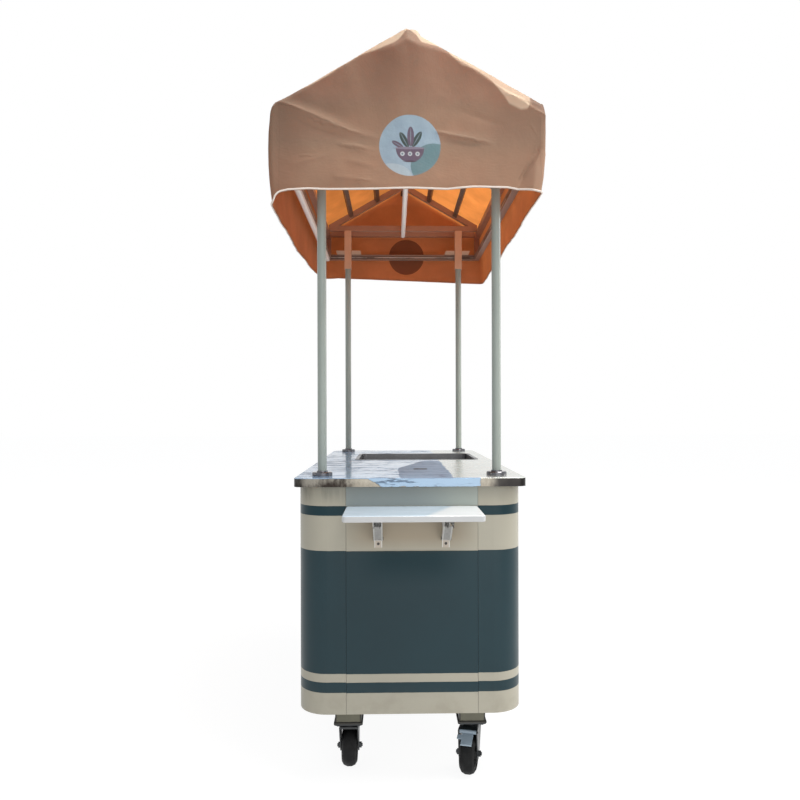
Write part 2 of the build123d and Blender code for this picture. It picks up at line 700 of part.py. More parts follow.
with BuildPart() as hinge_pins:
    for middle in HINGE_Z:
        with BuildSketch(level(middle - HINGE_H / 2)):
            with Locations((HINGE_X, -HINGE_Y), (HINGE_X, HINGE_Y)):
                Circle(HINGE_PIN_R)
        extrude(amount=HINGE_H)
write("hinge_pins", hinge_pins.part)

for name, end in (("front_door", -1), ("rear_door", 1)):
    with BuildPart() as door:
        with BuildSketch(along(DOOR_FACE)):
            with Locations((end * (DOOR_W + DOOR_GAP / 2) / 2, door_mid_z)):
                RectangleRounded(DOOR_W - DOOR_GAP / 2, DOOR_TOP - DOOR_BOTTOM, DOOR_R)
        extrude(amount=-DOOR_DEPTH)
        offset(amount=-SHEET, openings=door.faces().sort_by(Axis.X)[0])
    write(name, door.part)
    write(f"{name}_leaves", hinge_leaf(end, False))

    handle_y = end * HANDLE_INSET
    grip_x = DOOR_FACE + HANDLE_OUT
    with BuildPart() as handle:
        with BuildLine(Plane((0, MID_Y + handle_y, door_mid_z), x_dir=(1, 0, 0), z_dir=(0, -1, 0))) as bow:
            FilletPolyline(
                (DOOR_FACE, -HANDLE_L / 2),
                (grip_x, -HANDLE_L / 2),
                (grip_x, HANDLE_L / 2),
                (DOOR_FACE, HANDLE_L / 2),
                radius=HANDLE_BEND,
            )
        with BuildSketch(Plane(bow.line @ 0, z_dir=bow.line % 0)):
            Circle(HANDLE_R)
        sweep()
        with BuildSketch(along(DOOR_FACE)):
            with Locations(*[(handle_y, door_mid_z + s * HANDLE_L / 2) for s in (-1, 1)]):
                Circle(HANDLE_FOOT_R)
        extrude(amount=HANDLE_FOOT_T)
    write(f"{name}_handle", handle.part)

# Counter board and the steel sheet folded over it
with BuildPart() as counter_board:
    with BuildSketch(level(CABINET_TOP)):
        skin = 2 * (COUNTER_SHEET + BOARD_GAP)
        RectangleRounded(COUNTER_W - skin, COUNTER_L - skin, COUNTER_R - skin / 2)
        with Locations((PAN_X, PAN_Y)):
            RectangleRounded(PAN_W, PAN_L, PAN_R, mode=Mode.SUBTRACT)
    extrude(amount=BOARD_T)
write("counter_board", counter_board.part)

with BuildPart() as counter_sheet:
    with BuildSketch(level(COUNTER_TOP)):
        RectangleRounded(COUNTER_W, COUNTER_L, COUNTER_R)
    extrude(amount=-COUNTER_LIP)
    fillet(counter_sheet.edges().group_by(Axis.Z)[-1], COUNTER_EDGE)
    with BuildSketch(level(COUNTER_UNDER)):
        skin = 2 * COUNTER_SHEET
        RectangleRounded(COUNTER_W - skin, COUNTER_L - skin, COUNTER_R - COUNTER_SHEET)
    extrude(amount=-COUNTER_LIP, mode=Mode.SUBTRACT)
    with BuildSketch(level(COUNTER_TOP)):
        with Locations((PAN_X, PAN_Y)):
            RectangleRounded(PAN_W, PAN_L, PAN_R)
    extrude(amount=-COUNTER_SHEET, mode=Mode.SUBTRACT)
write("counter_sheet", counter_sheet.part)

# Sunk pan: a drawn bowl whose rim lies on the counter
bowl_w = PAN_W - 2 * PAN_GAP
bowl_l = PAN_L - 2 * PAN_GAP
with BuildPart() as pan_inside:
    with BuildSketch(level(COUNTER_TOP + SHEET)):
        with Locations((PAN_X, PAN_Y)):
            RectangleRounded(bowl_w - 2 * SHEET, bowl_l - 2 * SHEET, PAN_R - PAN_GAP - SHEET)
    extrude(amount=SHEET - PAN_DEPTH, taper=PAN_DRAFT)
    fillet(pan_inside.edges().group_by(Axis.Z)[0], PAN_FLOOR_R - SHEET)

with BuildPart() as food_pan:
    with BuildSketch(level(COUNTER_TOP + SHEET)):
        with Locations((PAN_X, PAN_Y)):
            RectangleRounded(bowl_w, bowl_l, PAN_R - PAN_GAP)
    extrude(amount=-PAN_DEPTH, taper=PAN_DRAFT)
    fillet(food_pan.edges().group_by(Axis.Z)[0], PAN_FLOOR_R)
    with BuildSketch(level(COUNTER_TOP)):
        with Locations((PAN_X, PAN_Y)):
            RectangleRounded(PAN_W + 2 * PAN_RIM, PAN_L + 2 * PAN_RIM, PAN_R + PAN_RIM)
    extrude(amount=SHEET)
    add(pan_inside.part, mode=Mode.SUBTRACT)
write("food_pan", food_pan.part)

# Posts, with a chrome flange at each foot
COLLAR_D = POST_D + 2 * (POST_FIT + COLLAR_WALL)
FLANGE_D = COLLAR_D + 2 * FLANGE_RIM
with BuildPart() as posts:
    with BuildSketch(level(COUNTER_TOP)):
        with Locations(*POST_SPOTS):
            Circle(POST_D / 2)
            Circle(POST_D / 2 - POST_WALL, mode=Mode.SUBTRACT)
    extrude(amount=CROSS_RAIL_Z - COUNTER_TOP)
write("canopy_posts", posts.part)

with BuildPart() as flanges:
    with BuildSketch(level(COUNTER_TOP)):
        with Locations(*POST_SPOTS):
            Circle(FLANGE_D / 2)
    extrude(amount=FLANGE_T)
    chamfer(flanges.faces().group_by(Axis.Z)[-1].edges(), FLANGE_EDGE)
    with BuildSketch(level(COUNTER_TOP)):
        with Locations(*POST_SPOTS):
            Circle(COLLAR_D / 2)
    extrude(amount=COLLAR_H)
    with BuildSketch(level(COUNTER_TOP)):
        with Locations(*POST_SPOTS):
            Circle(POST_D / 2 + POST_FIT)
    extrude(amount=COLLAR_H, mode=Mode.SUBTRACT)
write("post_flanges", flanges.part)

# Canopy rails: side rails run through, end and post rails stand between them
rail_x = (CANOPY_FRAME_W - CANOPY_TUBE) / 2
end_y = (CANOPY_FRAME_L - CANOPY_TUBE) / 2
between = CANOPY_FRAME_W - 2 * CANOPY_TUBE
half_tube = CANOPY_TUBE / 2


def canopy_along(z):
    """A pair of side rails, given the height of their undersides."""
    spots = [(s * rail_x, z + half_tube) for s in (-1, 1)]
    return rails_along(spots, CANOPY_FRAME_L, CANOPY_TUBE, CANOPY_WALL)


def canopy_across(z, places):
    """Cross rails between the side rails."""
    return rails_across([(y, z + half_tube) for y in places], between, CANOPY_TUBE, CANOPY_WALL)


write("canopy_lower_rails", canopy_along(LOWER_RAIL_Z), canopy_across(LOWER_RAIL_Z, (-end_y, end_y)))
write(
    "canopy_upper_rails",
    canopy_along(UPPER_RAIL_Z),
    canopy_across(CROSS_RAIL_Z, (-end_y, -POST_Y, POST_Y, end_y)),
)

LOWER_TOP = LOWER_RAIL_Z + CANOPY_TUBE
strut_spots = [(sx * rail_x, sy * end_y) for sx in (-1, 1) for sy in (-1, 1)]
write(
    "canopy_corner_struts",
    tubes(level(LOWER_TOP), strut_spots, UPPER_RAIL_Z - LOWER_TOP, CANOPY_TUBE, CANOPY_WALL),
)

# Sleeves over the post tops, each tied to the end rail by a gusset plate
SLEEVE = POST_D + 2 * (SLEEVE_PLAY + SLEEVE_WALL)
SLEEVE_FOOT = LOWER_RAIL_Z - SLEEVE_DROP
sleeves = tubes(level(SLEEVE_FOOT), POST_SPOTS, CROSS_RAIL_Z - SLEEVE_FOOT, SLEEVE, SLEEVE_WALL)
gusset_out = CANOPY_FRAME_L / 2
gusset_in = POST_Y + SLEEVE / 2
with BuildPart() as gussets:
    with BuildSketch(level(LOWER_TOP)):
        gusset_y = (gusset_in + gusset_out) / 2
        with Locations(*[(sx * POST_X, sy * gusset_y) for sx in (-1, 1) for sy in (-1, 1)]):
            Rectangle(GUSSET_W, gusset_out - gusset_in)
    extrude(amount=GUSSET_T)
write("post_sleeves", sleeves, gussets.part)

# Roof lines in the gable view: the underside of the cloth passes just over the side rails' outer edges
half_w = CANOPY_FRAME_W / 2
EAVE_Z = UPPER_RAIL_Z + CANOPY_TUBE + CLOTH_GAP
pitch = atan2(ROOF_RISE_Z, half_w)
slant = cos(pitch)


def roof_z(x, depth=0.0):
    """Height of the right-hand roof slope, a depth below the underside of the cloth."""
    return EAVE_Z + (half_w - x) * ROOF_RISE_Z / half_w - depth / slant


def roof_x(z, depth=0.0):
    """Where that line of the roof slope comes down to a height."""
    return half_w - (z + depth / slant - EAVE_Z) * half_w / ROOF_RISE_Z


SEAT_Z = CROSS_RAIL_Z + CANOPY_TUBE
seat_x = between / 2
rafter_edge = [
    (0, roof_z(0, CANOPY_TUBE)),
    (roof_x(SEAT_Z, CANOPY_TUBE), SEAT_Z),
    (seat_x, SEAT_Z),
    (seat_x, roof_z(seat_x)),
    (0, roof_z(0)),
]
bore_z = SEAT_Z + CANOPY_WALL
bore_edge = [
    (-CANOPY_WALL, roof_z(-CANOPY_WALL, CANOPY_TUBE - CANOPY_WALL)),
    (roof_x(bore_z, CANOPY_TUBE - CANOPY_WALL), bore_z),
    (roof_x(bore_z, CANOPY_WALL), bore_z),
    (-CANOPY_WALL, roof_z(-CANOPY_WALL, CANOPY_WALL)),
]

rafters = []
for side in (-1, 1):
    for end in (-1, 1):
        with BuildPart() as rafter:
            with BuildSketch(across(end * POST_Y + half_tube)):
                Polygon(*[(side * x, z) for x, z in rafter_edge], align=None)
            extrude(amount=CANOPY_TUBE)
            with BuildSketch(across(end * POST_Y + half_tube - CANOPY_WALL)):
                Polygon(*[(side * x, z) for x, z in bore_edge], align=None)
            extrude(amount=CANOPY_TUBE - 2 * CANOPY_WALL, mode=Mode.SUBTRACT)
        rafters.append(rafter.part)
write("canopy_rafters", *rafters)

# Purlins between the rafters; the ridge goes on past them to hold the cover out to the gables
ridge_spot = (0, roof_z(PURLIN_W / 2) - PURLIN_W / 2)
purlin_y = POST_Y - half_tube
stub_y = POST_Y + half_tube
stub_l = CANOPY_FRAME_L / 2 - stub_y
with BuildPart() as purlins:
    with BuildSketch(across(purlin_y)):
        for side in (-1, 1):
            for x in [PURLIN_PITCH * (n + 1) for n in range(PURLINS_A_SIDE)]:
                with Locations((side * x, roof_z(x, PURLIN_W / 2))):
                    Rectangle(PURLIN_W, PURLIN_W, rotation=-side * degrees(pitch))
                    inner = PURLIN_W - 2 * CANOPY_WALL
                    Rectangle(inner, inner, rotation=-side * degrees(pitch), mode=Mode.SUBTRACT)
    extrude(amount=2 * purlin_y)
    for y, length in ((purlin_y, 2 * purlin_y), (-stub_y, stub_l), (stub_y + stub_l, stub_l)):
        with BuildSketch(across(y)):
            with Locations(ridge_spot):
                Rectangle(PURLIN_W, PURLIN_W)
                Rectangle(PURLIN_W - 2 * CANOPY_WALL, PURLIN_W - 2 * CANOPY_WALL, mode=Mode.SUBTRACT)
        extrude(amount=length)
write("canopy_purlins", purlins.part)

# Light battens: one down the middle under the post rails, one under the left side rail
BATTEN_L = 2 * (POST_Y + BATTEN_OVER)
with BuildPart() as battens:
    for x, top in ((0, CROSS_RAIL_Z), (-rail_x, LOWER_RAIL_Z)):
        with BuildSketch(across(BATTEN_L / 2)) as batten_section:
            with Locations((x, top)):
                Rectangle(BATTEN_W, BATTEN_H, align=(Align.CENTER, Align.MAX))
            chamfer(batten_section.vertices().group_by(Axis.Y)[0], BATTEN_EDGE)
        extrude(amount=BATTEN_L)
write("light_battens", battens.part)

# Canvas cover: two roof panels, two side walls and two gables that meet along their seams
gable_in = CANOPY_FRAME_L / 2 + CLOTH_GAP
wall_top_x = half_w + CLOTH_GAP
wall_foot_x = wall_top_x + WALL_FLARE_W
cloth_up = CLOTH_T / slant
wall_top_in = roof_z(wall_top_x)
wall_top_out = roof_z(wall_top_x + CLOTH_T) + cloth_up
HEM_Z = LOWER_RAIL_Z - HEM_DROP
HEM_FRONT_LEFT = HEM_Z - HEM_DIP_FRONT_LEFT
HEM_FRONT_RIGHT = HEM_Z - HEM_DIP_FRONT_RIGHT
HEM_REAR_LEFT = HEM_Z - HEM_DIP_REAR_LEFT
HEM_REAR_RIGHT = HEM_Z - HEM_DIP_REAR_RIGHT
cloth_panels = []

for side in (-1, 1):
    with BuildPart() as roof_panel:
        with BuildSketch(across(gable_in)):
            roof_edge = [
                (0, roof_z(0)),
                (wall_top_x, wall_top_in),
                (wall_top_x + CLOTH_T, wall_top_out),
                (0, roof_z(0) + cloth_up),
            ]
            Polygon(*[(side * x, z) for x, z in roof_edge], align=None)
        extrude(amount=2 * gable_in)
    cloth_panels.append(roof_panel.part)

for side, front_z, rear_z in ((-1, HEM_FRONT_LEFT, HEM_REAR_LEFT), (1, HEM_FRONT_RIGHT, HEM_REAR_RIGHT)):
    with BuildPart() as side_wall:
        lowest = min(front_z, rear_z)
        with BuildSketch(across(gable_in)):
            wall_edge = [
                (wall_top_x, wall_top_in),
                (wall_foot_x, lowest),
                (wall_foot_x + CLOTH_T, lowest),
                (wall_top_x + CLOTH_T, wall_top_out),
            ]
            Polygon(*[(side * x, z) for x, z in wall_edge], align=None)
        extrude(amount=2 * gable_in)
        with BuildSketch(along(side * half_w)):
            corners = [(-gable_in, lowest), (gable_in, lowest), (gable_in, rear_z), (-gable_in, front_z)]
            Polygon(*corners, align=None)
        extrude(amount=side * (half_w + WALL_FLARE_W), mode=Mode.SUBTRACT)
    cloth_panels.append(side_wall.part)


def gable(outer, left_z, right_z, curl_left, curl_right):
    """A gable panel whose hem droops into its lower corners."""
    top_x = wall_top_x + CLOTH_T
    foot_x = wall_foot_x + CLOTH_T
    with BuildPart() as panel:
        with BuildSketch(across(outer)):
            with BuildLine():
                Polyline(
                    (-foot_x, left_z),
                    (-top_x, wall_top_out),
                    (0, roof_z(0) + cloth_up),
                    (top_x, wall_top_out),
                    (foot_x, right_z),
                )
                left_end = (curl_left - foot_x, HEM_Z)
                right_end = (foot_x - curl_right, HEM_Z)
                TangentArc(left_end, (-foot_x, left_z), tangent=(-1, 0))
                Line(left_end, right_end)
                TangentArc(right_end, (foot_x, right_z), tangent=(1, 0))
            make_face()
        extrude(amount=CLOTH_T)
    return panel.part


cloth_panels.append(gable(-gable_in, HEM_FRONT_LEFT, HEM_FRONT_RIGHT, HEM_CURL_LEFT, HEM_CURL_RIGHT))
cloth_panels.append(gable(gable_in + CLOTH_T, HEM_REAR_LEFT, HEM_REAR_RIGHT, HEM_CURL_LEFT, HEM_CURL_RIGHT))
write("canopy_cover", *cloth_panels)

# Folding shelf: a board on two channel arms, hinged on wall plates and held up by two struts
SHELF_TOP = CABINET_TOP - SHELF_DROP
SHELF_UNDER = SHELF_TOP - SHELF_T
SHELF_W = END_PANEL_W - 2 * SHELF_INSET
SHELF_PIN_Z = SHELF_UNDER - PIN_DROP
STRUT_PIN_Z = SHELF_PIN_Z - PIN_SPAN
STRUT_L = hypot(PIN_SPAN, STRUT_REACH_L)
FOLDED_REACH = PIN_SPAN + STRUT_L
PLATE_IN = ARM_W / 2 + BRACKET_PLAY
PLATE_OUT = PLATE_IN + BRACKET_SHEET
STRUT_IN = PLATE_OUT + BRACKET_PLAY
STRUT_OUT = STRUT_IN + BRACKET_SHEET
ARM_TIP = SHELF_GAP + SHELF_DEPTH - ARM_TIP_GAP
BRACKETS = {"left": SHELF_X - BRACKET_PITCH / 2, "right": SHELF_X + BRACKET_PITCH / 2}

with BuildPart() as shelf_board:
    with BuildSketch(Plane((SHELF_X, FRONT_Y - SHELF_GAP - SHELF_DEPTH / 2, SHELF_UNDER))):
        RectangleRounded(SHELF_W, SHELF_DEPTH, SHELF_R)
    extrude(amount=SHELF_T)
    chamfer(shelf_board.faces().filter_by(Axis.Z).edges(), SHELF_EDGE)
write("shelf_board", shelf_board.part)


def shelf_arm(x):
    """A channel under the board with a pin hole, a stud slot and a notch that drops over the strut pin."""
    with BuildPart() as arm:
        with BuildSketch(bracket_side(x)):
            with Locations((PIN_OUT, SHELF_PIN_Z), (ARM_TIP - ARM_LIP, SHELF_PIN_Z)):
                Circle(ARM_LIP)
            with Locations(((PIN_OUT - ARM_LIP + ARM_TIP) / 2, SHELF_UNDER)):
                Rectangle(ARM_TIP - PIN_OUT + ARM_LIP, PIN_DROP, align=(Align.CENTER, Align.MAX))
            make_hull()
        extrude(amount=ARM_W / 2, both=True)
        with BuildSketch(bracket_side(x)):
            with Locations((ARM_TIP / 2, SHELF_UNDER - BRACKET_SHEET)):
                Rectangle(2 * ARM_TIP, PIN_SPAN, align=(Align.CENTER, Align.MAX))
        extrude(amount=ARM_W / 2 - BRACKET_SHEET, both=True, mode=Mode.SUBTRACT)
        with BuildSketch(bracket_side(x)):
            with Locations((PIN_OUT, SHELF_PIN_Z)):
                Circle(PIN_R + RUNNING_GAP)
            with Locations((PIN_OUT + (STRUT_REACH_L + FOLDED_REACH) / 2, SHELF_PIN_Z)):
                SlotCenterToCenter(FOLDED_REACH - STRUT_REACH_L, 2 * (PIN_R + RUNNING_GAP))
            with Locations((PIN_OUT + PIN_SPAN, SHELF_PIN_Z)):
                Circle(PIN_R + NOTCH_FIT)
                Rectangle(2 * (PIN_R + NOTCH_FIT), 2 * ARM_LIP, align=(Align.CENTER, Align.MAX))
        extrude(amount=ARM_W, both=True, mode=Mode.SUBTRACT)
    return arm.part


def wall_plate(x):
    """A channel on the cabinet face that holds both pins, with a flat heel for a screw."""
    foot = STRUT_PIN_Z - PLATE_HEEL
    head = SHELF_PIN_Z + ARM_LIP + BRACKET_SHEET
    with BuildPart() as plate:
        with BuildSketch(bracket_side(x)):
            with Locations((PIN_OUT, SHELF_PIN_Z), (PIN_OUT, STRUT_PIN_Z)):
                Circle(ARM_LIP)
            with Locations((PLATE_BACK / 2, (head + STRUT_PIN_Z - PLATE_EAR) / 2)):
                Rectangle(PLATE_BACK, head - STRUT_PIN_Z + PLATE_EAR)
            make_hull()
        extrude(amount=PLATE_OUT, both=True)
        with BuildSketch(bracket_side(x)):
            with Locations((BRACKET_SHEET, (head + foot) / 2)):
                Rectangle(2 * PIN_OUT, 2 * head, align=(Align.MIN, Align.CENTER))
        extrude(amount=PLATE_IN, both=True, mode=Mode.SUBTRACT)
        with BuildSketch(bracket_side(x)):
            with Locations((BRACKET_SHEET / 2, (head + foot) / 2)):
                Rectangle(BRACKET_SHEET, head - foot)
        extrude(amount=PLATE_OUT, both=True)
        with BuildSketch(bracket_side(x)):
            with Locations((PIN_OUT, SHELF_PIN_Z), (PIN_OUT, STRUT_PIN_Z)):
                Circle(PIN_R)
        extrude(amount=STRUT_OUT, both=True, mode=Mode.SUBTRACT)
    return plate.part


def strut(x):
    """A channel strut, web below, with a stud at its upper end beside each arm flange."""
    lean = (0, -STRUT_REACH_L / STRUT_L, PIN_SPAN / STRUT_L)
    side = Plane((x, FRONT_Y - PIN_OUT, STRUT_PIN_Z), x_dir=lean, z_dir=(-1, 0, 0))
    web_l = STRUT_L - WEB_START - WEB_STOP
    web_mid = WEB_START + web_l / 2
    with BuildPart() as bar:
        with BuildSketch(side):
            with Locations((0, 0), (STRUT_L, 0)):
                Circle(STRUT_END_R)
            with Locations((web_mid, -WEB_OUT)):
                Rectangle(web_l, WEB_OUT + STRUT_LIP, align=(Align.CENTER, Align.MIN))
            make_hull()
        extrude(amount=STRUT_OUT, both=True)
        with BuildSketch(side):
            with Locations((STRUT_L / 2, BRACKET_SHEET - WEB_OUT)):
                Rectangle(2 * STRUT_L, PIN_SPAN, align=(Align.CENTER, Align.MIN))
            with Locations((WEB_START, 0)):
                Rectangle(STRUT_L, 2 * PIN_SPAN, align=(Align.MAX, Align.CENTER))
            with Locations((STRUT_L - WEB_STOP, 0)):
                Rectangle(STRUT_L, 2 * PIN_SPAN, align=(Align.MIN, Align.CENTER))
        extrude(amount=STRUT_IN, both=True, mode=Mode.SUBTRACT)
        with BuildSketch(side):
            Circle(PIN_R + RUNNING_GAP)
        extrude(amount=STRUT_OUT, both=True, mode=Mode.SUBTRACT)
        for hand in (-1, 1):
            with BuildSketch(side.offset(hand * (ARM_W / 2 + BRACKET_PLAY))):
                with Locations((STRUT_L, 0)):
                    Circle(PIN_R)
            extrude(amount=hand * (STRUT_OUT + PIN_HEAD_T - ARM_W / 2 - BRACKET_PLAY))
    return bar.part


for name, x in BRACKETS.items():
    write(f"{name}_strut", strut(x))
write("shelf_arms", *[shelf_arm(x) for x in BRACKETS.values()])
write("shelf_wall_plates", *[wall_plate(x) for x in BRACKETS.values()])

with BuildPart() as shelf_pins:
    for x in BRACKETS.values():
        for height, reach in ((SHELF_PIN_Z, PLATE_OUT), (STRUT_PIN_Z, STRUT_OUT + BRACKET_PLAY)):
            with BuildSketch(bracket_side(x)):
                with Locations((PIN_OUT, height)):
                    Circle(PIN_R)
            extrude(amount=reach, both=True)
            for side in (-1, 1):
                with BuildSketch(bracket_side(x + side * reach)):
                    with Locations((PIN_OUT, height)):
                        Circle(PIN_HEAD_R)
                extrude(amount=-side * PIN_HEAD_T)
write("shelf_pins", shelf_pins.part)
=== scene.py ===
"""Dresses a hand-pushed food cart: painted cabinet, steel counter, canvas canopy, folding shelf and casters."""

import logging
import math
from dataclasses import dataclass, field
from enum import Enum
from typing import Callable, Optional, Sequence

import bmesh
import bpy
import numpy as np
from mathutils import Matrix, Vector, noise


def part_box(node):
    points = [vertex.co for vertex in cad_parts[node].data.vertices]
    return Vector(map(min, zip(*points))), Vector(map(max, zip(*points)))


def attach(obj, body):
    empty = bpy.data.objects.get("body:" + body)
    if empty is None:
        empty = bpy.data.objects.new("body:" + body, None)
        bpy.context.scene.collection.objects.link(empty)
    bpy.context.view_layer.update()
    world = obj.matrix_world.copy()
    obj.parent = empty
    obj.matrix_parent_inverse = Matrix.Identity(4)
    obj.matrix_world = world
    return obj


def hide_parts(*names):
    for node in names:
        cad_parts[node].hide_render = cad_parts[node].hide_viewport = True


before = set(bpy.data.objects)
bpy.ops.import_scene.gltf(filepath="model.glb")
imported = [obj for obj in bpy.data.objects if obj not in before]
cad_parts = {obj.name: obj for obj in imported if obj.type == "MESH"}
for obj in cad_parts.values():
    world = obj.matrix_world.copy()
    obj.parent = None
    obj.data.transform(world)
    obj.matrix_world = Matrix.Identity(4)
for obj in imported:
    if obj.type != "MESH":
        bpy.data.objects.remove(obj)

logging.basicConfig(level=logging.INFO, format="%(name)s: %(message)s")
LOG = logging.getLogger("food_cart")
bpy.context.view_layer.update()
CART = "cart"
Colour = tuple[float, float, float]
Point = tuple[float, float, float]
# Where a tone or a shape starts and where it is full, or another pair of values
Span = tuple[float, float]
# Rows of place and value
Table = tuple[Span, ...]
# Both ends of a fold, its half width and its height
Fold = tuple[Span, Span, float, float]
Socket = bpy.types.NodeSocket
# The stretch that most values of a noise lie in
MIDDLE: Span = (0.3, 0.7)


def srgb(red: int, green: int, blue: int) -> Colour:
    """Turns an 8-bit screen colour into the linear one that shaders take.

    Args:
        red: Red, 0 to 255.
        green: Green, 0 to 255.
        blue: Blue, 0 to 255.

    Returns:
        The linear colour.
    """
    parts = [c / 255 for c in (red, green, blue)]
    return tuple(c / 12.92 if c <= 0.04045 else ((c + 0.055) / 1.055) ** 2.4 for c in parts)


def dim(colour: Colour, share: float) -> Colour:
    """Darkens a linear colour to a share of itself."""
    return tuple(c * share for c in colour)


class Axis(Enum):
    """An axis of the cart's own frame."""

    X = "X"
    Y = "Y"
    Z = "Z"


class Graph:
    """A material's node tree, with short calls for the nodes that the finishes share."""

    def __init__(self, name: str) -> None:
        """Starts an empty material.

        Args:
            name: The material's name.
        """
        self.material = bpy.data.materials.new(name)
        self.material.use_nodes = True
        self.tree = self.material.node_tree
        self.tree.nodes.clear()
        self.output = self.tree.nodes.new("ShaderNodeOutputMaterial")
        self.coords = self.tree.nodes.new("ShaderNodeTexCoord")
        self._axes: Optional[bpy.types.Node] = None

    def set(self, socket: Socket, value: object) -> None:
        """Links a socket to another, or sets it to a constant.

        Args:
            socket: The input to feed.
            value: An output socket, a number, a colour or a vector.
        """
        if isinstance(value, Socket):
            self.tree.links.new(value, socket)
        elif isinstance(value, (tuple, list)) and socket.type == "RGBA" and len(value) == 3:
            socket.default_value = (*value, 1.0)
        else:
            socket.default_value = value

    def place(self, axis: Axis) -> Socket:
        """One Object coordinate, in metres.

        Args:
            axis: Which coordinate.

        Returns:
            The coordinate's socket.
        """
        if self._axes is None:
            self._axes = self.tree.nodes.new("ShaderNodeSeparateXYZ")
            self.set(self._axes.inputs[0], self.coords.outputs["Object"])
        return self._axes.outputs[axis.value]

    def math(self, kind: str, first: object, second: object = 0.0, third: object = 0.0) -> Socket:
        """A Math node.

        Args:
            kind: The operation.
            first: First value or socket.
            second: Second value or socket.
            third: Third value or socket.

        Returns:
            The result's socket.
        """
        node = self.tree.nodes.new("ShaderNodeMath")
        node.operation = kind
        for socket, value in zip(node.inputs, (first, second, third)):
            self.set(socket, value)
        return node.outputs[0]

    def times(self, first: object, second: object) -> Socket:
        """The product of two values or sockets."""
        return self.math("MULTIPLY", first, second)

    def apart(self, value: object, middle: object) -> Socket:
        """How far a value is from a middle, either way."""
        return self.math("ABSOLUTE", self.math("SUBTRACT", value, middle))

    def aside(self) -> Socket:
        """Distance across from the cart's middle, in metres."""
        return self.math("ABSOLUTE", self.place(Axis.X))

    def span(self, value: object, low: float, high: float, to_low: float = 0.0, to_high: float = 1.0,
             smooth: bool = True) -> Socket:
        """Maps a stretch of values to another, clamped at its ends.

        Args:
            value: The value or socket to map.
            low: Start of the stretch.
            high: End of the stretch.
            to_low: Result at the start.
            to_high: Result at the end.
            smooth: Eases both ends.

        Returns:
            The result's socket.
        """
        node = self.tree.nodes.new("ShaderNodeMapRange")
        node.interpolation_type = "SMOOTHSTEP" if smooth else "LINEAR"
        for socket, number in zip(node.inputs[:5], (value, low, high, to_low, to_high)):
            self.set(socket, number)
        return node.outputs[0]

    def noise(self, scale: float, detail: float = 3.0, rough: float = 0.55,
              stretch: Point = (1.0, 1.0, 1.0), turn: Point = (0.0, 0.0, 0.0)) -> Socket:
        """Noise on Object coordinates.

        Args:
            scale: Cells per metre.
            detail: Octaves.
            rough: Share of the finer octaves.
            stretch: Scale along each axis, below 1 for streaks along it.
            turn: Turn of the pattern, in radians.

        Returns:
            The noise, about 0 to 1.
        """
        node = self.tree.nodes.new("ShaderNodeTexNoise")
        mapping = self.tree.nodes.new("ShaderNodeMapping")
        self.set(mapping.inputs["Vector"], self.coords.outputs["Object"])
        mapping.inputs["Scale"].default_value = stretch
        mapping.inputs["Rotation"].default_value = turn
        self.set(node.inputs["Vector"], mapping.outputs[0])
        node.inputs["Scale"].default_value = scale
        node.inputs["Detail"].default_value = detail
        node.inputs["Roughness"].default_value = rough
        return node.outputs["Fac"]

    def wander(self, scale: float, detail: float, reach: float, rough: float = 0.55) -> Socket:
        """Noise about zero, which makes an edge uneven.

        Args:
            scale: Cells per metre.
            detail: Octaves.
            reach: Metres from the lowest to the highest.
            rough: Share of the finer octaves.

        Returns:
            The offset, in metres.
        """
        return self.times(self.math("SUBTRACT", self.noise(scale, detail, rough), 0.5), reach)

    def weave(self, pitch: float, along: Axis) -> Socket:
        """One set of a cloth's threads or a board's plies, as a wave along an axis.

        Args:
            pitch: Their spacing in metres.
            along: The axis that they are counted along.

        Returns:
            The wave, -1 to 1.
        """
        return self.math("SINE", self.times(self.place(along), 2 * math.pi / pitch))

    def mix(self, share: object, first: object, second: object) -> Socket:
        """Mixes two colours.

        Args:
            share: 0 for the first, 1 for the second.
            first: First colour or socket.
            second: Second colour or socket.

        Returns:
            The colour's socket.
        """
        node = self.tree.nodes.new("ShaderNodeMix")
        node.data_type = "RGBA"
        self.set(node.inputs[0], share)
        self.set(node.inputs[6], first)
        self.set(node.inputs[7], second)
        return node.outputs[2]

    def bump(self, height: object, depth: float, under: object = None) -> Socket:
        """A bump of a real depth.

        Args:
            height: The height's socket, about 0 to 1.
            depth: Metres from 0 to 1.
            under: A coarser bump to add to.

        Returns:
            The normal's socket.
        """
        node = self.tree.nodes.new("ShaderNodeBump")
        node.inputs["Strength"].default_value = 1.0
        node.inputs["Distance"].default_value = depth
        self.set(node.inputs["Height"], height)
        if under is not None:
            self.set(node.inputs["Normal"], under)
        return node.outputs[0]

    def surface(self, **values: object) -> bpy.types.Node:
        """A Principled shader.

        Args:
            **values: Inputs by name, with spaces written as underscores.

        Returns:
            The shader node.
        """
        node = self.tree.nodes.new("ShaderNodeBsdfPrincipled")
        for name, value in values.items():
            self.set(node.inputs[name.replace("_", " ")], value)
        return node

    def close(self, shader: Socket) -> bpy.types.Material:
        """Ends the material in a shader.

        Args:
            shader: The shader's socket.

        Returns:
            The finished material.
        """
        self.set(self.output.inputs["Surface"], shader)
        return self.material


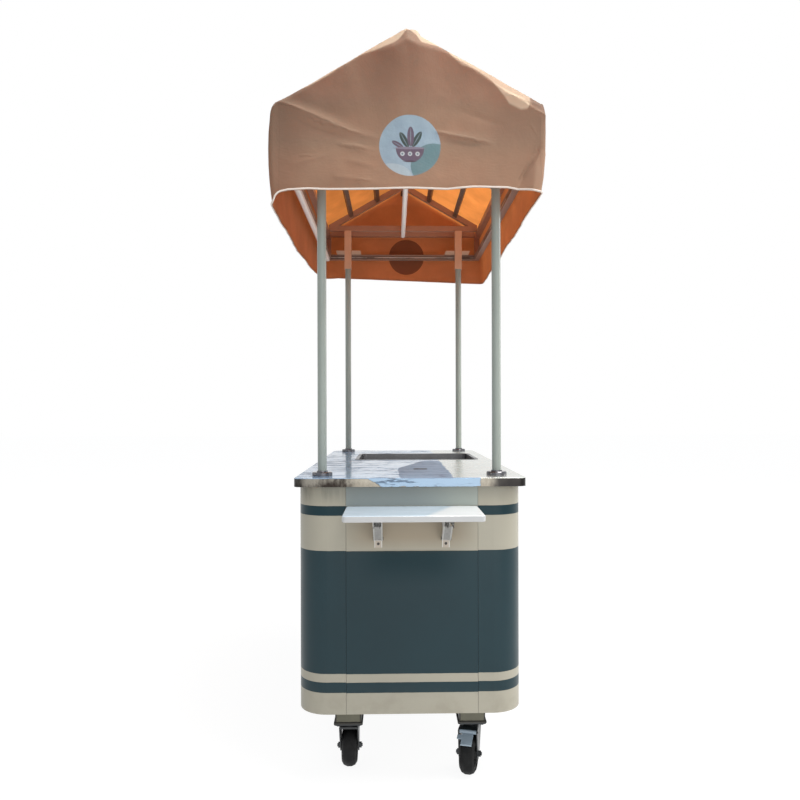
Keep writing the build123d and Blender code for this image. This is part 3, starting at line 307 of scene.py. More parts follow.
@dataclass(frozen=True)
class PaintedSteel:
    """Sprayed paint on sheet or tube: a little orange peel, dust and uneven sheen."""

    name: str
    colour: Colour
    shade: float = 0.90
    roughness: float = 0.38
    coat: float = 0.15
    peel: float = 0.00006
    dust: float = 0.10
    dust_colour: Colour = srgb(150, 142, 128)
    sheen: Span = (-0.06, 0.08)
    coat_roughness: float = 0.2

    def make(self) -> bpy.types.Material:
        """Builds the material.

        Returns:
            The material.
        """
        g = Graph(self.name)
        cloud = g.span(g.noise(5.0, 4.0), *MIDDLE)
        colour = g.mix(cloud, dim(self.colour, self.shade), self.colour)
        speck = g.span(g.noise(260.0, 2.0), 0.62, 0.75, 0.0, self.dust)
        colour = g.mix(speck, colour, self.dust_colour)
        rough = g.span(g.noise(14.0, 3.0), *MIDDLE, *(self.roughness + part for part in self.sheen))
        normal = g.bump(g.noise(700.0, 2.0), self.peel)
        return g.close(g.surface(Base_Color=colour, Roughness=rough, Normal=normal,
                                 Coat_Weight=self.coat, Coat_Roughness=self.coat_roughness).outputs[0])


@dataclass(frozen=True)
class HighlitTube:
    """Painted tube with a painted highlight along one line and painted shade beside it."""

    name: str
    colour: Colour = srgb(140, 116, 104)
    shade: float = 0.86
    # A painted highlight along the line, and the painted shade beside it
    bright: Colour = srgb(214, 202, 194)
    line_shade: Colour = srgb(60, 44, 40)
    line_z: float = 1.9105
    line_half: Span = (0.0030, 0.0014)
    line_share: float = 0.8
    line_shade_half: Span = (0.0085, 0.0060)
    line_shade_share: float = 0.75
    roughness: Span = (0.44, 0.34)
    peel: float = 0.00004

    def make(self) -> bpy.types.Material:
        """Builds the material.

        Returns:
            The material.
        """
        g = Graph(self.name)
        patchy = g.span(g.noise(9.0, 4.0), 0.35, 0.6)
        away = g.apart(g.place(Axis.Z), self.line_z)
        cloud = g.span(g.noise(5.0, 4.0), *MIDDLE)
        colour = g.mix(cloud, dim(self.colour, self.shade), self.colour)
        # Painted shade beside the line, then a painted highlight on it
        colour = g.mix(g.times(g.span(away, *self.line_shade_half), self.line_shade_share), colour, self.line_shade)
        line = g.times(g.span(away, *self.line_half), g.times(patchy, self.line_share))
        colour = g.mix(line, colour, self.bright)
        return g.close(g.surface(Base_Color=colour, Roughness=g.span(patchy, 0.0, 1.0, *self.roughness),
                                 Normal=g.bump(g.noise(700.0, 2.0), self.peel)).outputs[0])


@dataclass(frozen=True)
class BandedPaint:
    """The cabinet's paint: a pale ground with dark level bands that are masked and sprayed."""

    name: str
    ground: Colour = srgb(171, 167, 153)
    ground_shade: float = 0.95
    band: Colour = srgb(22, 51, 59)
    band_shade: float = 0.88
    inside: Colour = srgb(120, 120, 114)
    bands: Table = ((0.2880, 0.3194), (0.3448, 0.7136), (0.8190, 0.8480))
    band_blur: float = 0.0003
    band_wander: float = 0.0012
    lift: float = 0.0
    roughness: float = 0.365
    uneven: float = 0.03
    gloss: float = 0.28
    coat: float = 0.10
    coat_roughness: float = 0.14
    waves: float = 0.0004
    by_shelf: bool = False
    skin: float = 0.0006
    half_w: float = 0.340
    half_l: float = 0.740
    corner_r: float = 0.090
    mid_y: float = 0.078
    grime: Colour = srgb(118, 108, 92)
    grime_z: Span = (0.32, 0.225)
    grime_share: float = 0.22
    # Painted shadow under the counter's overhang, which the drip stains deepen at the left
    shade: Colour = srgb(104, 106, 98)
    shade_z: Span = (0.845, 0.910)
    shade_share: float = 0.36
    drip_x: Span = (-0.14, -0.26)
    drip_z: Span = (0.835, 0.890)
    drip_share: float = 0.42
    matt_z: Span = (0.800, 0.822)
    matt_gloss: float = 0.6
    # Painted shadow under the shelf, brownish
    shelf_shadow: Colour = srgb(138, 104, 58)
    shelf_shadow_x: Span = (0.24, 0.10)
    shelf_shadow_z: Span = (0.70, 0.76)
    shelf_shadow_end_z: Span = (0.82, 0.80)
    shelf_shadow_share: float = 0.34
    # Painted shade on the dark band below the shelf, between its brackets, with less gloss and coat there
    dull: Colour = srgb(4, 30, 32)
    under_shelf_shade_x: Span = (0.19, 0.06)
    under_shelf_shade_z: Span = (0.590, 0.690)
    under_shelf_shade_end_z: Span = (0.718, 0.714)
    under_shelf_shade_share: float = 0.15
    under_shelf_shade_gloss: float = 0.62
    under_shelf_shade_coat: float = 0.5
    # Painted reflection on the panel under the counter, bluish at the left and paler at the right
    panel_reflection: tuple[Colour, Colour] = (srgb(76, 118, 140), srgb(150, 176, 180))
    panel_reflection_x: Span = (-0.02, 0.17)
    panel_reflection_z: Span = (0.846, 0.850)
    panel_reflection_share: float = 0.40

    def outer(self, g: Graph) -> Socket:
        """Where the bands are sprayed: the cabinet's outline, to the depth of the skin.

        Args:
            g: The material's graph.

        Returns:
            1 on the outer face, 0 on the inner face.
        """
        aside = g.math("SUBTRACT", g.aside(), self.half_w - self.corner_r)
        along = g.math("SUBTRACT", g.apart(g.place(Axis.Y), self.mid_y), self.half_l - self.corner_r)
        squares = [g.math("POWER", g.math("MAXIMUM", side, 0.0), 2.0) for side in (aside, along)]
        reach = g.math("ADD", g.math("SQRT", g.math("ADD", *squares)),
                       g.math("MINIMUM", g.math("MAXIMUM", aside, along), 0.0))
        return g.math("GREATER_THAN", reach, self.corner_r - self.skin)

    def banded(self, g: Graph) -> Socket:
        """The ground and its bands, each a little cloudy.

        Args:
            g: The material's graph.

        Returns:
            The paint's colour.
        """
        height = g.math("ADD", g.math("ADD", g.place(Axis.Z), g.wander(30.0, 2.0, self.band_wander)), -self.lift)
        mask: object = 0.0
        for low, high in self.bands:
            inside = g.times(g.span(height, low - self.band_blur, low + self.band_blur, smooth=False),
                             g.span(height, high + self.band_blur, high - self.band_blur, smooth=False))
            mask = g.math("MAXIMUM", mask, inside)
        cloud = g.span(g.noise(4.0, 4.0), *MIDDLE)
        ground = g.mix(cloud, dim(self.ground, self.ground_shade), self.ground)
        band = g.mix(cloud, dim(self.band, self.band_shade), self.band)
        return g.mix(mask, ground, band)

    def round_shelf(self, g: Graph, colour: Socket) -> tuple[Socket, Socket, Socket]:
        """Paints light and shade on the end panel round the shelf: a brownish painted shadow under it, painted shade
        below that and a painted reflection above it.

        Args:
            g: The material's graph.
            colour: The paint's colour.

        Returns:
            The toned colour, the gloss and the coat.
        """
        z, aside = g.place(Axis.Z), g.aside()
        # Painted shadow under the shelf
        shelf_shadow = g.times(g.span(z, *self.shelf_shadow_z, 0.0, self.shelf_shadow_share), g.span(aside, *self.shelf_shadow_x))
        colour = g.mix(g.times(shelf_shadow, g.span(z, *self.shelf_shadow_end_z)), colour, self.shelf_shadow)
        # Painted shade below the shelf
        dull = g.times(g.span(z, *self.under_shelf_shade_z), g.span(z, *self.under_shelf_shade_end_z))
        dull = g.times(dull, g.span(aside, *self.under_shelf_shade_x))
        colour = g.mix(g.times(dull, self.under_shelf_shade_share), colour, self.dull)
        # Painted reflection under the counter
        panel_reflection = g.mix(g.span(g.place(Axis.X), *self.panel_reflection_x), *self.panel_reflection)
        colour = g.mix(g.span(z, *self.panel_reflection_z, 0.0, self.panel_reflection_share), colour, panel_reflection)
        gloss = g.span(dull, 0.0, 1.0, self.gloss, self.gloss * self.under_shelf_shade_gloss, smooth=False)
        return colour, gloss, g.span(dull, 0.0, 1.0, self.coat, self.coat * self.under_shelf_shade_coat, smooth=False)

    def make(self) -> bpy.types.Material:
        """Builds the material.

        Returns:
            The material.
        """
        g = Graph(self.name)
        z = g.place(Axis.Z)
        colour = self.banded(g)
        grime = g.times(g.span(z, *self.grime_z, 0.0, self.grime_share), g.span(g.noise(22.0, 5.0), 0.4, 0.75))
        colour = g.mix(grime, colour, self.grime)
        # Painted shadow under the counter's overhang
        shade = g.span(z, *self.shade_z, 0.0, self.shade_share)
        coat: object = self.coat
        if self.by_shelf:
            colour, gloss, coat = self.round_shelf(g, colour)
        else:
            # Less gloss under the overhang also stands in for its shadow, and drip stains from the lip add to the
            # painted shadow at the left
            gloss = g.span(z, *self.matt_z, self.gloss, self.gloss * self.matt_gloss)
            drips = g.noise(34.0, 5.0, 0.6, stretch=(1.0, 1.0, 0.12))
            drips = g.times(g.span(drips, 0.35, 0.65), g.span(g.place(Axis.X), *self.drip_x, 0.0, self.drip_share))
            shade = g.math("ADD", shade, g.times(drips, g.span(z, *self.drip_z)))
        colour = g.mix(self.outer(g), self.inside, g.mix(shade, colour, self.shade))
        rough = g.span(g.noise(11.0, 3.0), *MIDDLE, self.roughness - self.uneven, self.roughness + self.uneven)
        normal = g.bump(g.noise(2.2, 1.0), self.waves)
        return g.close(g.surface(Base_Color=colour, Roughness=rough, Normal=normal, Specular_IOR_Level=gloss,
                                 Coat_Weight=coat, Coat_Roughness=self.coat_roughness).outputs[0])


@dataclass(frozen=True)
class EdgedPaint:
    """The risers' thin paint, with painted shade at their sides and bottom rims."""

    name: str
    colour: Colour = srgb(110, 108, 91)
    shade: float = 0.82
    riser_shade: Colour = srgb(36, 34, 31)
    riser_shade_share: float = 0.9
    edge_wander: float = 0.004
    mid_x: float = 0.192
    half_face: float = 0.0345
    side_shade_width: float = 0.003
    rim_z: float = 0.1700
    rim_shade_width: float = 0.002
    roughness: Span = (0.42, 0.55)
    peel: float = 0.00006

    def make(self) -> bpy.types.Material:
        """Builds the material.

        Returns:
            The material.
        """
        g = Graph(self.name)
        aside = g.apart(g.aside(), self.mid_x)
        wander = g.wander(60.0, 4.0, self.edge_wander)
        # Painted shade at the sides and the bottom rim
        wear_and_painted_light = g.span(g.math("ADD", aside, wander), self.half_face, self.half_face + self.side_shade_width)
        low = g.span(g.math("ADD", g.place(Axis.Z), wander), self.rim_z + self.rim_shade_width, self.rim_z)
        wear_and_painted_light = g.times(g.math("MAXIMUM", wear_and_painted_light, low), self.riser_shade_share)
        cloud = g.span(g.noise(18.0, 4.0), *MIDDLE)
        colour = g.mix(wear_and_painted_light, g.mix(cloud, dim(self.colour, self.shade), self.colour), self.riser_shade)
        return g.close(g.surface(Base_Color=colour, Roughness=g.span(cloud, 0.0, 1.0, *self.roughness),
                                 Normal=g.bump(g.noise(500.0, 2.0), self.peel)).outputs[0])


@dataclass(frozen=True)
class BareMetal:
    """Bright metal with fine streaks along one axis."""

    name: str
    colour: Colour
    roughness: float = 0.26
    streak: Point = (0.04, 1.0, 1.0)
    depth: float = 0.00002
    # Dark patches: aged spots on most metals, painted dark reflections on the post flanges
    tarnish_and_dark_reflection: float = 0.25
    patch_shade: float = 0.55
    patch_rough: float = 0.3
    uneven: float = 0.08

    def make(self) -> bpy.types.Material:
        """Builds the material.

        Returns:
            The material.
        """
        g = Graph(self.name)
        lines = g.noise(900.0, 3.0, stretch=self.streak)
        dark_patches = g.span(g.noise(9.0, 5.0), 0.45, 0.75, 0.0, self.tarnish_and_dark_reflection)
        colour = g.mix(dark_patches, self.colour, dim(self.colour, self.patch_shade))
        rough = g.span(lines, 0.2, 0.8, self.roughness - self.uneven, self.roughness + self.uneven)
        rough = g.math("ADD", rough, g.times(dark_patches, self.patch_rough))
        return g.close(g.surface(Base_Color=colour, Metallic=1.0, Roughness=rough,
                                 Normal=g.bump(lines, self.depth)).outputs[0])


@dataclass(frozen=True)
class FilmedCounter:
    """Polished counter steel under a thin bluish protective film with torn, wrinkled edges."""

    name: str
    film: Colour = srgb(134, 170, 208)
    film_pale: Colour = srgb(158, 187, 216)
    # Painted shade along the film's creases
    wrinkle_shade: Colour = srgb(84, 98, 120)
    patch: Colour = srgb(128, 148, 172)
    slit: Colour = srgb(34, 37, 44)
    bare_top: Colour = srgb(206, 210, 206)
    lip_film: Colour = srgb(150, 174, 197)
    lip_dark: Colour = srgb(54, 47, 42)
    lip_pale: Colour = srgb(152, 147, 137)
    lip_rubbed: Colour = srgb(146, 140, 128)
    lip_ends: Colour = srgb(40, 38, 38)
    top_z: float = 0.932
    top_depth: Span = (0.0022, 0.0006)
    front_y: float = -0.672
    lip_reach: Span = (0.012, 0.004)
    lip_left: Span = (-0.131, -0.127)
    lip_right: Span = (0.214, 0.210)
    lip_slant: float = -1.6
    lip_tear: float = 0.04
    lip_ragged: float = 0.010
    lip_depth: Span = (0.0262, 0.0256)
    lip_shade_depth: Span = (0.004, 0.026)
    rubbed_left: Span = (-0.20, -0.15)
    rubbed_right: Span = (0.26, 0.23)
    rubbed_share: float = 0.7
    left_end: Span = (-0.300, -0.340)
    left_share: float = 0.85
    right_end: Span = (0.236, 0.268)
    right_share: float = 0.94
    patch_left: Span = (-0.033, -0.029)
    patch_right: Span = (0.134, 0.130)
    patch_rear: Span = (0.060, 0.040)
    tear_slope: float = 3.43
    tear_y: float = -0.177
    tear_blur: Span = (0.012, -0.012)
    tear_wander: float = 0.03
    clear_x: Span = (0.131, 0.135)
    slit_x: float = 0.0422
    slit_y: float = -0.337
    slit_half_x: Span = (0.025, 0.022)
    slit_half_y: Span = (0.026, 0.020)
    wrinkle_half: float = 0.034
    wrinkle_shade_share: float = 0.85
    wrinkle_rise: float = 0.6
    wrinkle_depth: float = 0.0014
    metal_bare: float = 0.80
    metal_filmed: float = 0.30
    roughness: Span = (0.08, 0.16)
    clear_rough: float = 0.14
    dull_rough: float = 0.5

    def lip(self, g: Graph) -> tuple[Socket, Socket]:
        """Where the film is left on the folded lip, and the colour of the bare lip.

        Args:
            g: The material's graph.

        Returns:
            The film's mask and the bare steel's colour.
        """
        x, z = g.place(Axis.X), g.place(Axis.Z)
        slant = g.times(g.math("SUBTRACT", z, self.top_z), self.lip_slant)
        edge = g.math("ADD", x, g.wander(30.0, 6.0, self.lip_tear, 0.65))
        left = g.span(g.math("SUBTRACT", edge, slant), *self.lip_left)
        kept = g.times(left, g.span(edge, *self.lip_right))
        ragged = g.math("ADD", z, g.wander(70.0, 5.0, self.lip_ragged))
        low = g.span(ragged, *(self.top_z - depth for depth in self.lip_depth))
        front = g.span(g.place(Axis.Y), *(self.front_y + reach for reach in self.lip_reach))
        film = g.times(front, g.times(kept, low))
        streak = g.noise(26.0, 6.0, 0.68, stretch=(1.0, 1.0, 0.5))
        # Painted shade towards the lip's bottom edge, over its streaks
        lower = g.span(z, *(self.top_z - depth for depth in self.lip_shade_depth), 0.06, -0.08)
        bare = g.mix(g.span(g.math("ADD", streak, lower), 0.36, 0.66), self.lip_dark, self.lip_pale)
        rubbed = g.times(g.span(x, *self.rubbed_left), g.span(x, *self.rubbed_right))
        bare = g.mix(g.times(rubbed, self.rubbed_share), bare, self.lip_rubbed)
        ends = g.math("MAXIMUM", g.span(x, *self.right_end, 0.0, self.right_share),
                      g.span(x, *self.left_end, 0.0, self.left_share))
        return film, g.mix(ends, bare, self.lip_ends)

    def torn(self, g: Graph, x: Socket, y: Socket) -> Socket:
        """The duller patch of the top where one layer of film is torn off.

        Args:
            g: The material's graph.
            x: Across, with a little wander.
            y: Along, with a little wander.

        Returns:
            1 on the patch.
        """
        sides = g.times(g.span(x, *self.patch_left), g.span(x, *self.patch_right))
        far = g.math("SUBTRACT", y, g.math("MULTIPLY_ADD", x, self.tear_slope, self.tear_y))
        return g.times(sides, g.times(g.span(far, *self.tear_blur), g.span(y, *self.patch_rear)))

    def make(self) -> bpy.types.Material:
        """Builds the material.

        Returns:
            The material.
        """
        g = Graph(self.name)
        x, y, z = g.place(Axis.X), g.place(Axis.Y), g.place(Axis.Z)
        crease = g.noise(22.0, 5.0, 0.62, stretch=(0.22, 1.0, 1.0))
        line = g.span(g.apart(crease, 0.5), 0.0, self.wrinkle_half, 1.0, 0.0)
        line = g.times(line, g.span(g.noise(9.0, 3.0), 0.40, 0.52))
        wander = g.wander(9.0, 4.0, self.tear_wander)
        torn_x, torn_y = g.math("ADD", x, wander), g.math("ADD", y, wander)
        top = g.span(z, *(self.top_z - depth for depth in self.top_depth))
        patch = g.times(top, self.torn(g, torn_x, torn_y))
        clear = g.times(top, g.span(torn_x, *self.clear_x))
        slit = g.times(g.span(g.apart(x, self.slit_x), *self.slit_half_x),
                       g.span(g.apart(y, self.slit_y), *self.slit_half_y))
        slit = g.times(slit, top)
        pale = g.mix(g.span(g.noise(5.0, 3.0), 0.35, 0.65), self.film, self.film_pale)
        pale = g.mix(top, self.lip_film, pale)
        pale = g.mix(patch, pale, self.patch)
        # Painted shade in the film's creases
        pale = g.mix(g.times(line, self.wrinkle_shade_share), pale, self.wrinkle_shade)
        pale = g.mix(slit, pale, self.slit)
        film, bare = self.lip(g)
        film = g.math("MAXIMUM", film, g.math("SUBTRACT", top, clear))
        bare = g.mix(clear, bare, self.bare_top)
        colour = g.mix(film, bare, pale)
        dull = g.math("MAXIMUM", g.math("MAXIMUM", patch, slit), g.times(line, film))
        metal = g.span(film, 0.0, 1.0, self.metal_bare, self.metal_filmed, smooth=False)
        metal = g.times(metal, g.span(dull, 0.0, 1.0, 1.0, 0.0))
        rough = g.math("ADD", g.span(crease, 0.2, 0.8, *self.roughness), g.times(clear, self.clear_rough))
        rough = g.math("ADD", rough, g.times(dull, self.dull_rough))
        height = g.times(g.math("ADD", crease, g.times(line, self.wrinkle_rise)), film)
        return g.close(g.surface(Base_Color=colour, Metallic=metal, Roughness=rough,
                                 Normal=g.bump(height, self.wrinkle_depth)).outputs[0])


class Face(Enum):
    """Which face of the cloth a finish is for."""

    OUTSIDE = "outside"
    INSIDE = "inside"


@dataclass(frozen=True)
class Canvas:
    """Plain-woven canvas that glows where light comes through it, with a round print on each gable."""

    name: str
    face: Face
    colour: Colour
    through: Colour
    share: float
    disc_z: float = 1.905
    disc_r: float = 0.0897
    mid_y: float = 0.078
    rear_shift: Span = (0.018, 0.016)
    gable_y: Span = (0.74, 0.75)
    seam_x: float = 0.3805
    seam_half: Span = (0.0012, 0.0004)
    seam_shade: float = 0.35
    seam_share: float = 0.35
    cloud_shade: float = 0.9
    thin_shade: float = 0.84
    slub_share: float = 0.10
    slub_gain: float = 1.3
    thread: float = 0.0011
    thread_depth: float = 0.00008
    crumple: float = 0.003
    roughness: float = 0.75
    nap: float = 0.10
    nap_roughness: float = 0.5
    specular: float = 0.25
    ink: float = 0.97
    ink_behind: float = 0.9
    ink_through: float = 0.25
    ridge_z: float = 2.257
    fall: float = 0.578
    # Painted sunlight: paler cloth on the strip under the roof's edge and all over the roof
    sunlit: Colour = srgb(228, 207, 180)
    sunlight_share: float = 0.8
    backing: Colour = srgb(164, 92, 68)
    rim: bool = False
    # Painted shade towards the crown, at the left edge and foot, and above the front gable's fold
    crown: float = 0.60
    crown_z: Span = (1.95, 2.19)
    crown_x: Span = (0.30, 0.05)
    crown_shade: float = 0.5
    edge_x: Span = (-0.345, -0.405)
    edge_share: float = 0.30
    edge_shade: float = 0.3
    front_y: Span = (0.66, 0.76)
    fold_slope: float = 0.384
    fold_z: Span = (1.892, 1.925)
    fold_x: Span = (-0.08, -0.22)
    fold_share: float = 0.9
    foot_z: Span = (1.89, 1.80)
    foot_x: Span = (-0.06, -0.20)
    foot_share: float = 0.16
    left_x: Span = (-0.25, -0.37)
    left_share: float = 0.42
    # Painted shade on the roof's front rim where no sunlit strip lies under it
    rim_y: Span = (0.768, 0.780)
    rim_strip: Span = (0.008, 0.001)
    rim_share: float = 0.9
    rim_shade: float = 0.4
    rim_through: float = 0.2
    roof_dull: float = 0.12
    # The corner darkened beside the strip, then the painted sunlit strip's light, edge and depth across the gable
    corner_x: Span = (0.345, 0.358)
    corner_depth: Span = (0.050, 0.020)
    corner_share: float = 0.9
    corner_shade: float = 0.42
    lit_x: Span = (0.10, 0.28)
    lit_depth: Span = (0.024, 0.036)
    lit_share: Span = (-0.50, 0.25)
    strip_blur: Span = (0.004, -0.006)
    strip_wander: Span = (-0.004, 0.004)
    reach: float = 0.42
    strip_unit: float = 0.07
    strip: Table = (
        (-0.420, 0.000), (-0.340, 0.000), (-0.300, 0.005), (-0.225, 0.006), (-0.195, 0.000), (-0.140, 0.000),
        (-0.092, 0.017), (-0.045, 0.029), (-0.032, 0.026), (-0.016, 0.010), (-0.009, 0.004), (0.003, 0.007),
        (0.020, 0.014), (0.034, 0.032), (0.063, 0.020), (0.093, 0.005), (0.105, 0.001), (0.123, 0.015),
        (0.153, 0.026), (0.198, 0.018), (0.228, 0.022), (0.256, 0.040), (0.289, 0.066), (0.323, 0.064),
        (0.340, 0.053), (0.347, 0.042), (0.352, 0.000), (0.420, 0.000),
    )
    pinch_rise: float = 0.003
    pinch_wander: Span = (-0.003, 0.003)
    pinch_start: Span = (-0.01, 0.02)
    pinch_end: Span = (0.01, -0.05)
    pinches: tuple[Fold, ...] = (
        ((-0.384, 2.034), (-0.292, 2.001), 0.008, 1.0), ((-0.292, 1.988), (-0.134, 1.938), 0.008, 1.0),
        ((-0.206, 1.911), (-0.108, 1.896), 0.009, 0.9), ((-0.320, 1.876), (-0.270, 1.879), 0.006, 0.6),
        ((0.078, 1.946), (0.246, 1.917), 0.009, 1.0), ((0.384, 1.912), (0.312, 1.781), 0.009, -0.9),
        ((0.340, 2.046), (0.352, 2.002), 0.006, 0.8), ((-0.160, 1.806), (-0.104, 1.803), 0.006, 0.6),
        ((0.352, 1.972), (0.376, 1.930), 0.007, 0.6),
    )

    def strip_depth(self, g: Graph) -> Socket:
        """How deep the painted sunlit strip under the roof's edge is across a gable.

        Args:
            g: The material's graph.

        Returns:
            The depth in metres.
        """
        ramp = g.tree.nodes.new("ShaderNodeValToRGB")
        g.set(ramp.inputs[0], g.span(g.place(Axis.X), -self.reach, self.reach, smooth=False))
        stops = ramp.color_ramp.elements
        stops.remove(stops[1])
        for index, (place, depth) in enumerate(self.strip):
            stop = stops[0] if index == 0 else stops.new((place + self.reach) / (2 * self.reach))
            stop.color = (depth / self.strip_unit,) * 3 + (1.0,)
        return g.times(ramp.outputs[0], self.strip_unit)

    def folds(self, g: Graph) -> Socket:
        """The sharp folds of a gable, which taper off at both ends.

        Args:
            g: The material's graph.

        Returns:
            Their height, as a share of the highest.
        """
        wander = g.span(g.noise(26.0, 3.0), *MIDDLE, *self.pinch_wander)
        total: object = 0.0
        for (x0, z0), (x1, z1), half, rise in self.pinches:
            length = math.hypot(x1 - x0, z1 - z0)
            across, up = (x1 - x0) / length, (z1 - z0) / length
            dx, dz = g.math("SUBTRACT", g.place(Axis.X), x0), g.math("SUBTRACT", g.place(Axis.Z), z0)
            along = g.math("MULTIPLY_ADD", dx, across, g.times(dz, up))
            aside = g.math("ADD", g.math("MULTIPLY_ADD", dx, -up, g.times(dz, across)), wander)
            ridge = g.span(g.math("ABSOLUTE", aside), half, 0.0, 0.0, rise)
            ridge = g.times(ridge, g.span(along, *self.pinch_start))
            end = g.span(along, *(length + part for part in self.pinch_end))
            total = g.math("MULTIPLY_ADD", ridge, end, total)
        return total

    @staticmethod
    def oval(g: Graph, spot: Span, half: Span, lean: float, x: Socket, up: Socket) -> Socket:
        """The mask of an oval on a gable.

        Args:
            g: The material's graph.
            spot: The middle, from the print's middle, in millimetres.
            half: Half sizes in millimetres.
            lean: Turn in degrees.
            x: Across, from the print's middle, in millimetres.
            up: Up, from the print's middle, in millimetres.

        Returns:
            1 inside the oval.
        """
        c, s = math.cos(math.radians(lean)), math.sin(math.radians(lean))
        dx, dz = g.math("SUBTRACT", x, spot[0]), g.math("SUBTRACT", up, spot[1])
        u = g.math("DIVIDE", g.math("ADD", g.times(dx, c), g.times(dz, s)), half[0])
        v = g.math("DIVIDE", g.math("SUBTRACT", g.times(dz, c), g.times(dx, s)), half[1])
        gap = g.math("SQRT", g.math("ADD", g.times(u, u), g.times(v, v)))
        blur = 0.5 / min(half)
        return g.span(gap, 1.0 + blur, 1.0 - blur, smooth=False)

    def picture(self, g: Graph, x: Socket, up: Socket) -> Socket:
        """Draws a bowl of leaves before a hill.

        Args:
            g: The material's graph.
            x: Across, from the print's middle, in millimetres.
            up: Up, from the print's middle, in millimetres.

        Returns:
            The print's colour.
        """
        mauve, teal, pale, green = srgb(108, 101, 122), srgb(112, 152, 160), srgb(212, 214, 218), srgb(58, 92, 94)
        colour = g.mix(g.span(g.noise(22.0, 2.0), 0.35, 0.65), srgb(164, 190, 208), srgb(172, 198, 214))
        colour = g.mix(self.oval(g, (72.0, -58.0), (70.0, 66.0), 0.0, x, up), colour, teal)
        colour = g.mix(self.oval(g, (-58.0, -98.0), (66.0, 46.0), 0.0, x, up), colour, srgb(190, 208, 218))
        leaves = (((-17.0, 17.0), (9.0, 25.0), 28.0, green), ((20.0, 19.0), (9.0, 26.0), -30.0, green),
                  ((2.0, 27.0), (10.0, 29.0), 0.0, mauve), ((-36.0, 4.0), (7.0, 19.0), 58.0, mauve))
        for spot, half, lean, tint in leaves:
            colour = g.mix(self.oval(g, spot, half, lean, x, up), colour, tint)
            rib = (half[0] * 0.12, half[1] * 0.8)
            colour = g.mix(self.oval(g, spot, rib, lean, x, up), colour, srgb(150, 166, 176))
        bowl = self.oval(g, (0.0, -8.0), (41.0, 42.0), 0.0, x, up)
        bowl = g.times(bowl, g.span(up, -7.5, -8.5, smooth=False))
        bowl = g.times(bowl, g.span(up, -45.5, -44.5, smooth=False))
        colour = g.mix(bowl, colour, mauve)
        for across in (-22.0, 0.0, 22.0):
            colour = g.mix(self.oval(g, (across, -24.0), (6.5, 6.5), 0.0, x, up), colour, pale)
            colour = g.mix(self.oval(g, (across, -24.0), (3.0, 3.0), 0.0, x, up), colour, teal)
        colour = g.mix(self.oval(g, (0.0, -7.0), (45.0, 3.6), 0.0, x, up), colour, srgb(146, 140, 158))
        return g.mix(self.oval(g, (0.0, -46.5), (19.0, 2.6), 0.0, x, up), colour, srgb(84, 78, 98))

    def disc(self, g: Graph) -> tuple[Socket, Socket, Socket]:
        """The print's place on both gables.

        Args:
            g: The material's graph.

        Returns:
            Its mask, and the places across and up from its middle in millimetres.
        """
        rear = g.span(g.place(Axis.Y), 0.0, 0.1)
        x = g.times(g.math("MULTIPLY_ADD", rear, -self.rear_shift[0], g.place(Axis.X)), 1000.0)
        up = g.math("SUBTRACT", g.math("MULTIPLY_ADD", rear, -self.rear_shift[1], g.place(Axis.Z)), self.disc_z)
        up = g.times(up, 1000.0)
        radius = 1000.0 * self.disc_r
        round_mask = self.oval(g, (0.0, 0.0), (radius, radius), 0.0, x, up)
        gable = g.span(g.apart(g.place(Axis.Y), self.mid_y), *self.gable_y)
        return g.times(round_mask, gable), x, up

    def ahead(self, g: Graph, reach: Span) -> Socket:
        """Rises from 0 to 1 over a stretch towards the front, counted from the canopy's middle."""
        return g.span(g.place(Axis.Y), *(self.mid_y - part for part in reach))

    def shaded(self, g: Graph, colour: Socket) -> Socket:
        """Shades the outer face towards its crown and its left edge, and above the front gable's fold.

        Args:
            g: The material's graph.
            colour: The cloth's colour.

        Returns:
            The shaded colour.
        """
        across, height = g.place(Axis.X), g.place(Axis.Z)
        high = g.times(g.span(height, *self.crown_z), g.span(g.aside(), *self.crown_x))
        edge = g.span(across, *self.edge_x, 0.0, self.edge_share)
        if not self.rim:
            front = self.ahead(g, self.front_y)
            above = g.math("MULTIPLY_ADD", across, self.fold_slope, height)
            above = g.times(g.span(above, *self.fold_z, 0.0, self.fold_share), g.span(across, *self.fold_x))
            high = g.math("MAXIMUM", high, g.times(above, front))
            foot = g.times(g.span(height, *self.foot_z, 0.0, self.foot_share), g.span(across, *self.foot_x))
            left = g.math("MAXIMUM", foot, g.span(across, *self.left_x, 0.0, self.left_share))
            edge = g.math("MAXIMUM", edge, g.times(left, front))
        colour = g.mix(g.times(high, self.crown), colour, dim(self.colour, self.crown_shade))
        return g.mix(edge, colour, dim(self.colour, self.edge_shade))

    def sunlit_roof_and_shaded_rim(self, g: Graph, colour: Socket, through: Socket) -> tuple[Socket, Socket]:
        """Paints sunlight on the roof, and painted shade on its front rim where no sunlit strip lies under it.

        Args:
            g: The material's graph.
            colour: The cloth's colour.
            through: The colour of the light that comes through.

        Returns:
            Both colours.
        """
        front = g.times(self.ahead(g, self.rim_y), g.span(self.strip_depth(g), *self.rim_strip))
        colour = g.mix(self.sunlight_share, colour, self.sunlit)
        colour = g.mix(g.times(front, self.rim_share), colour, dim(self.colour, self.rim_shade))
        return colour, g.mix(g.math("MAXIMUM", front, self.roof_dull), through, dim(self.through, self.rim_through))

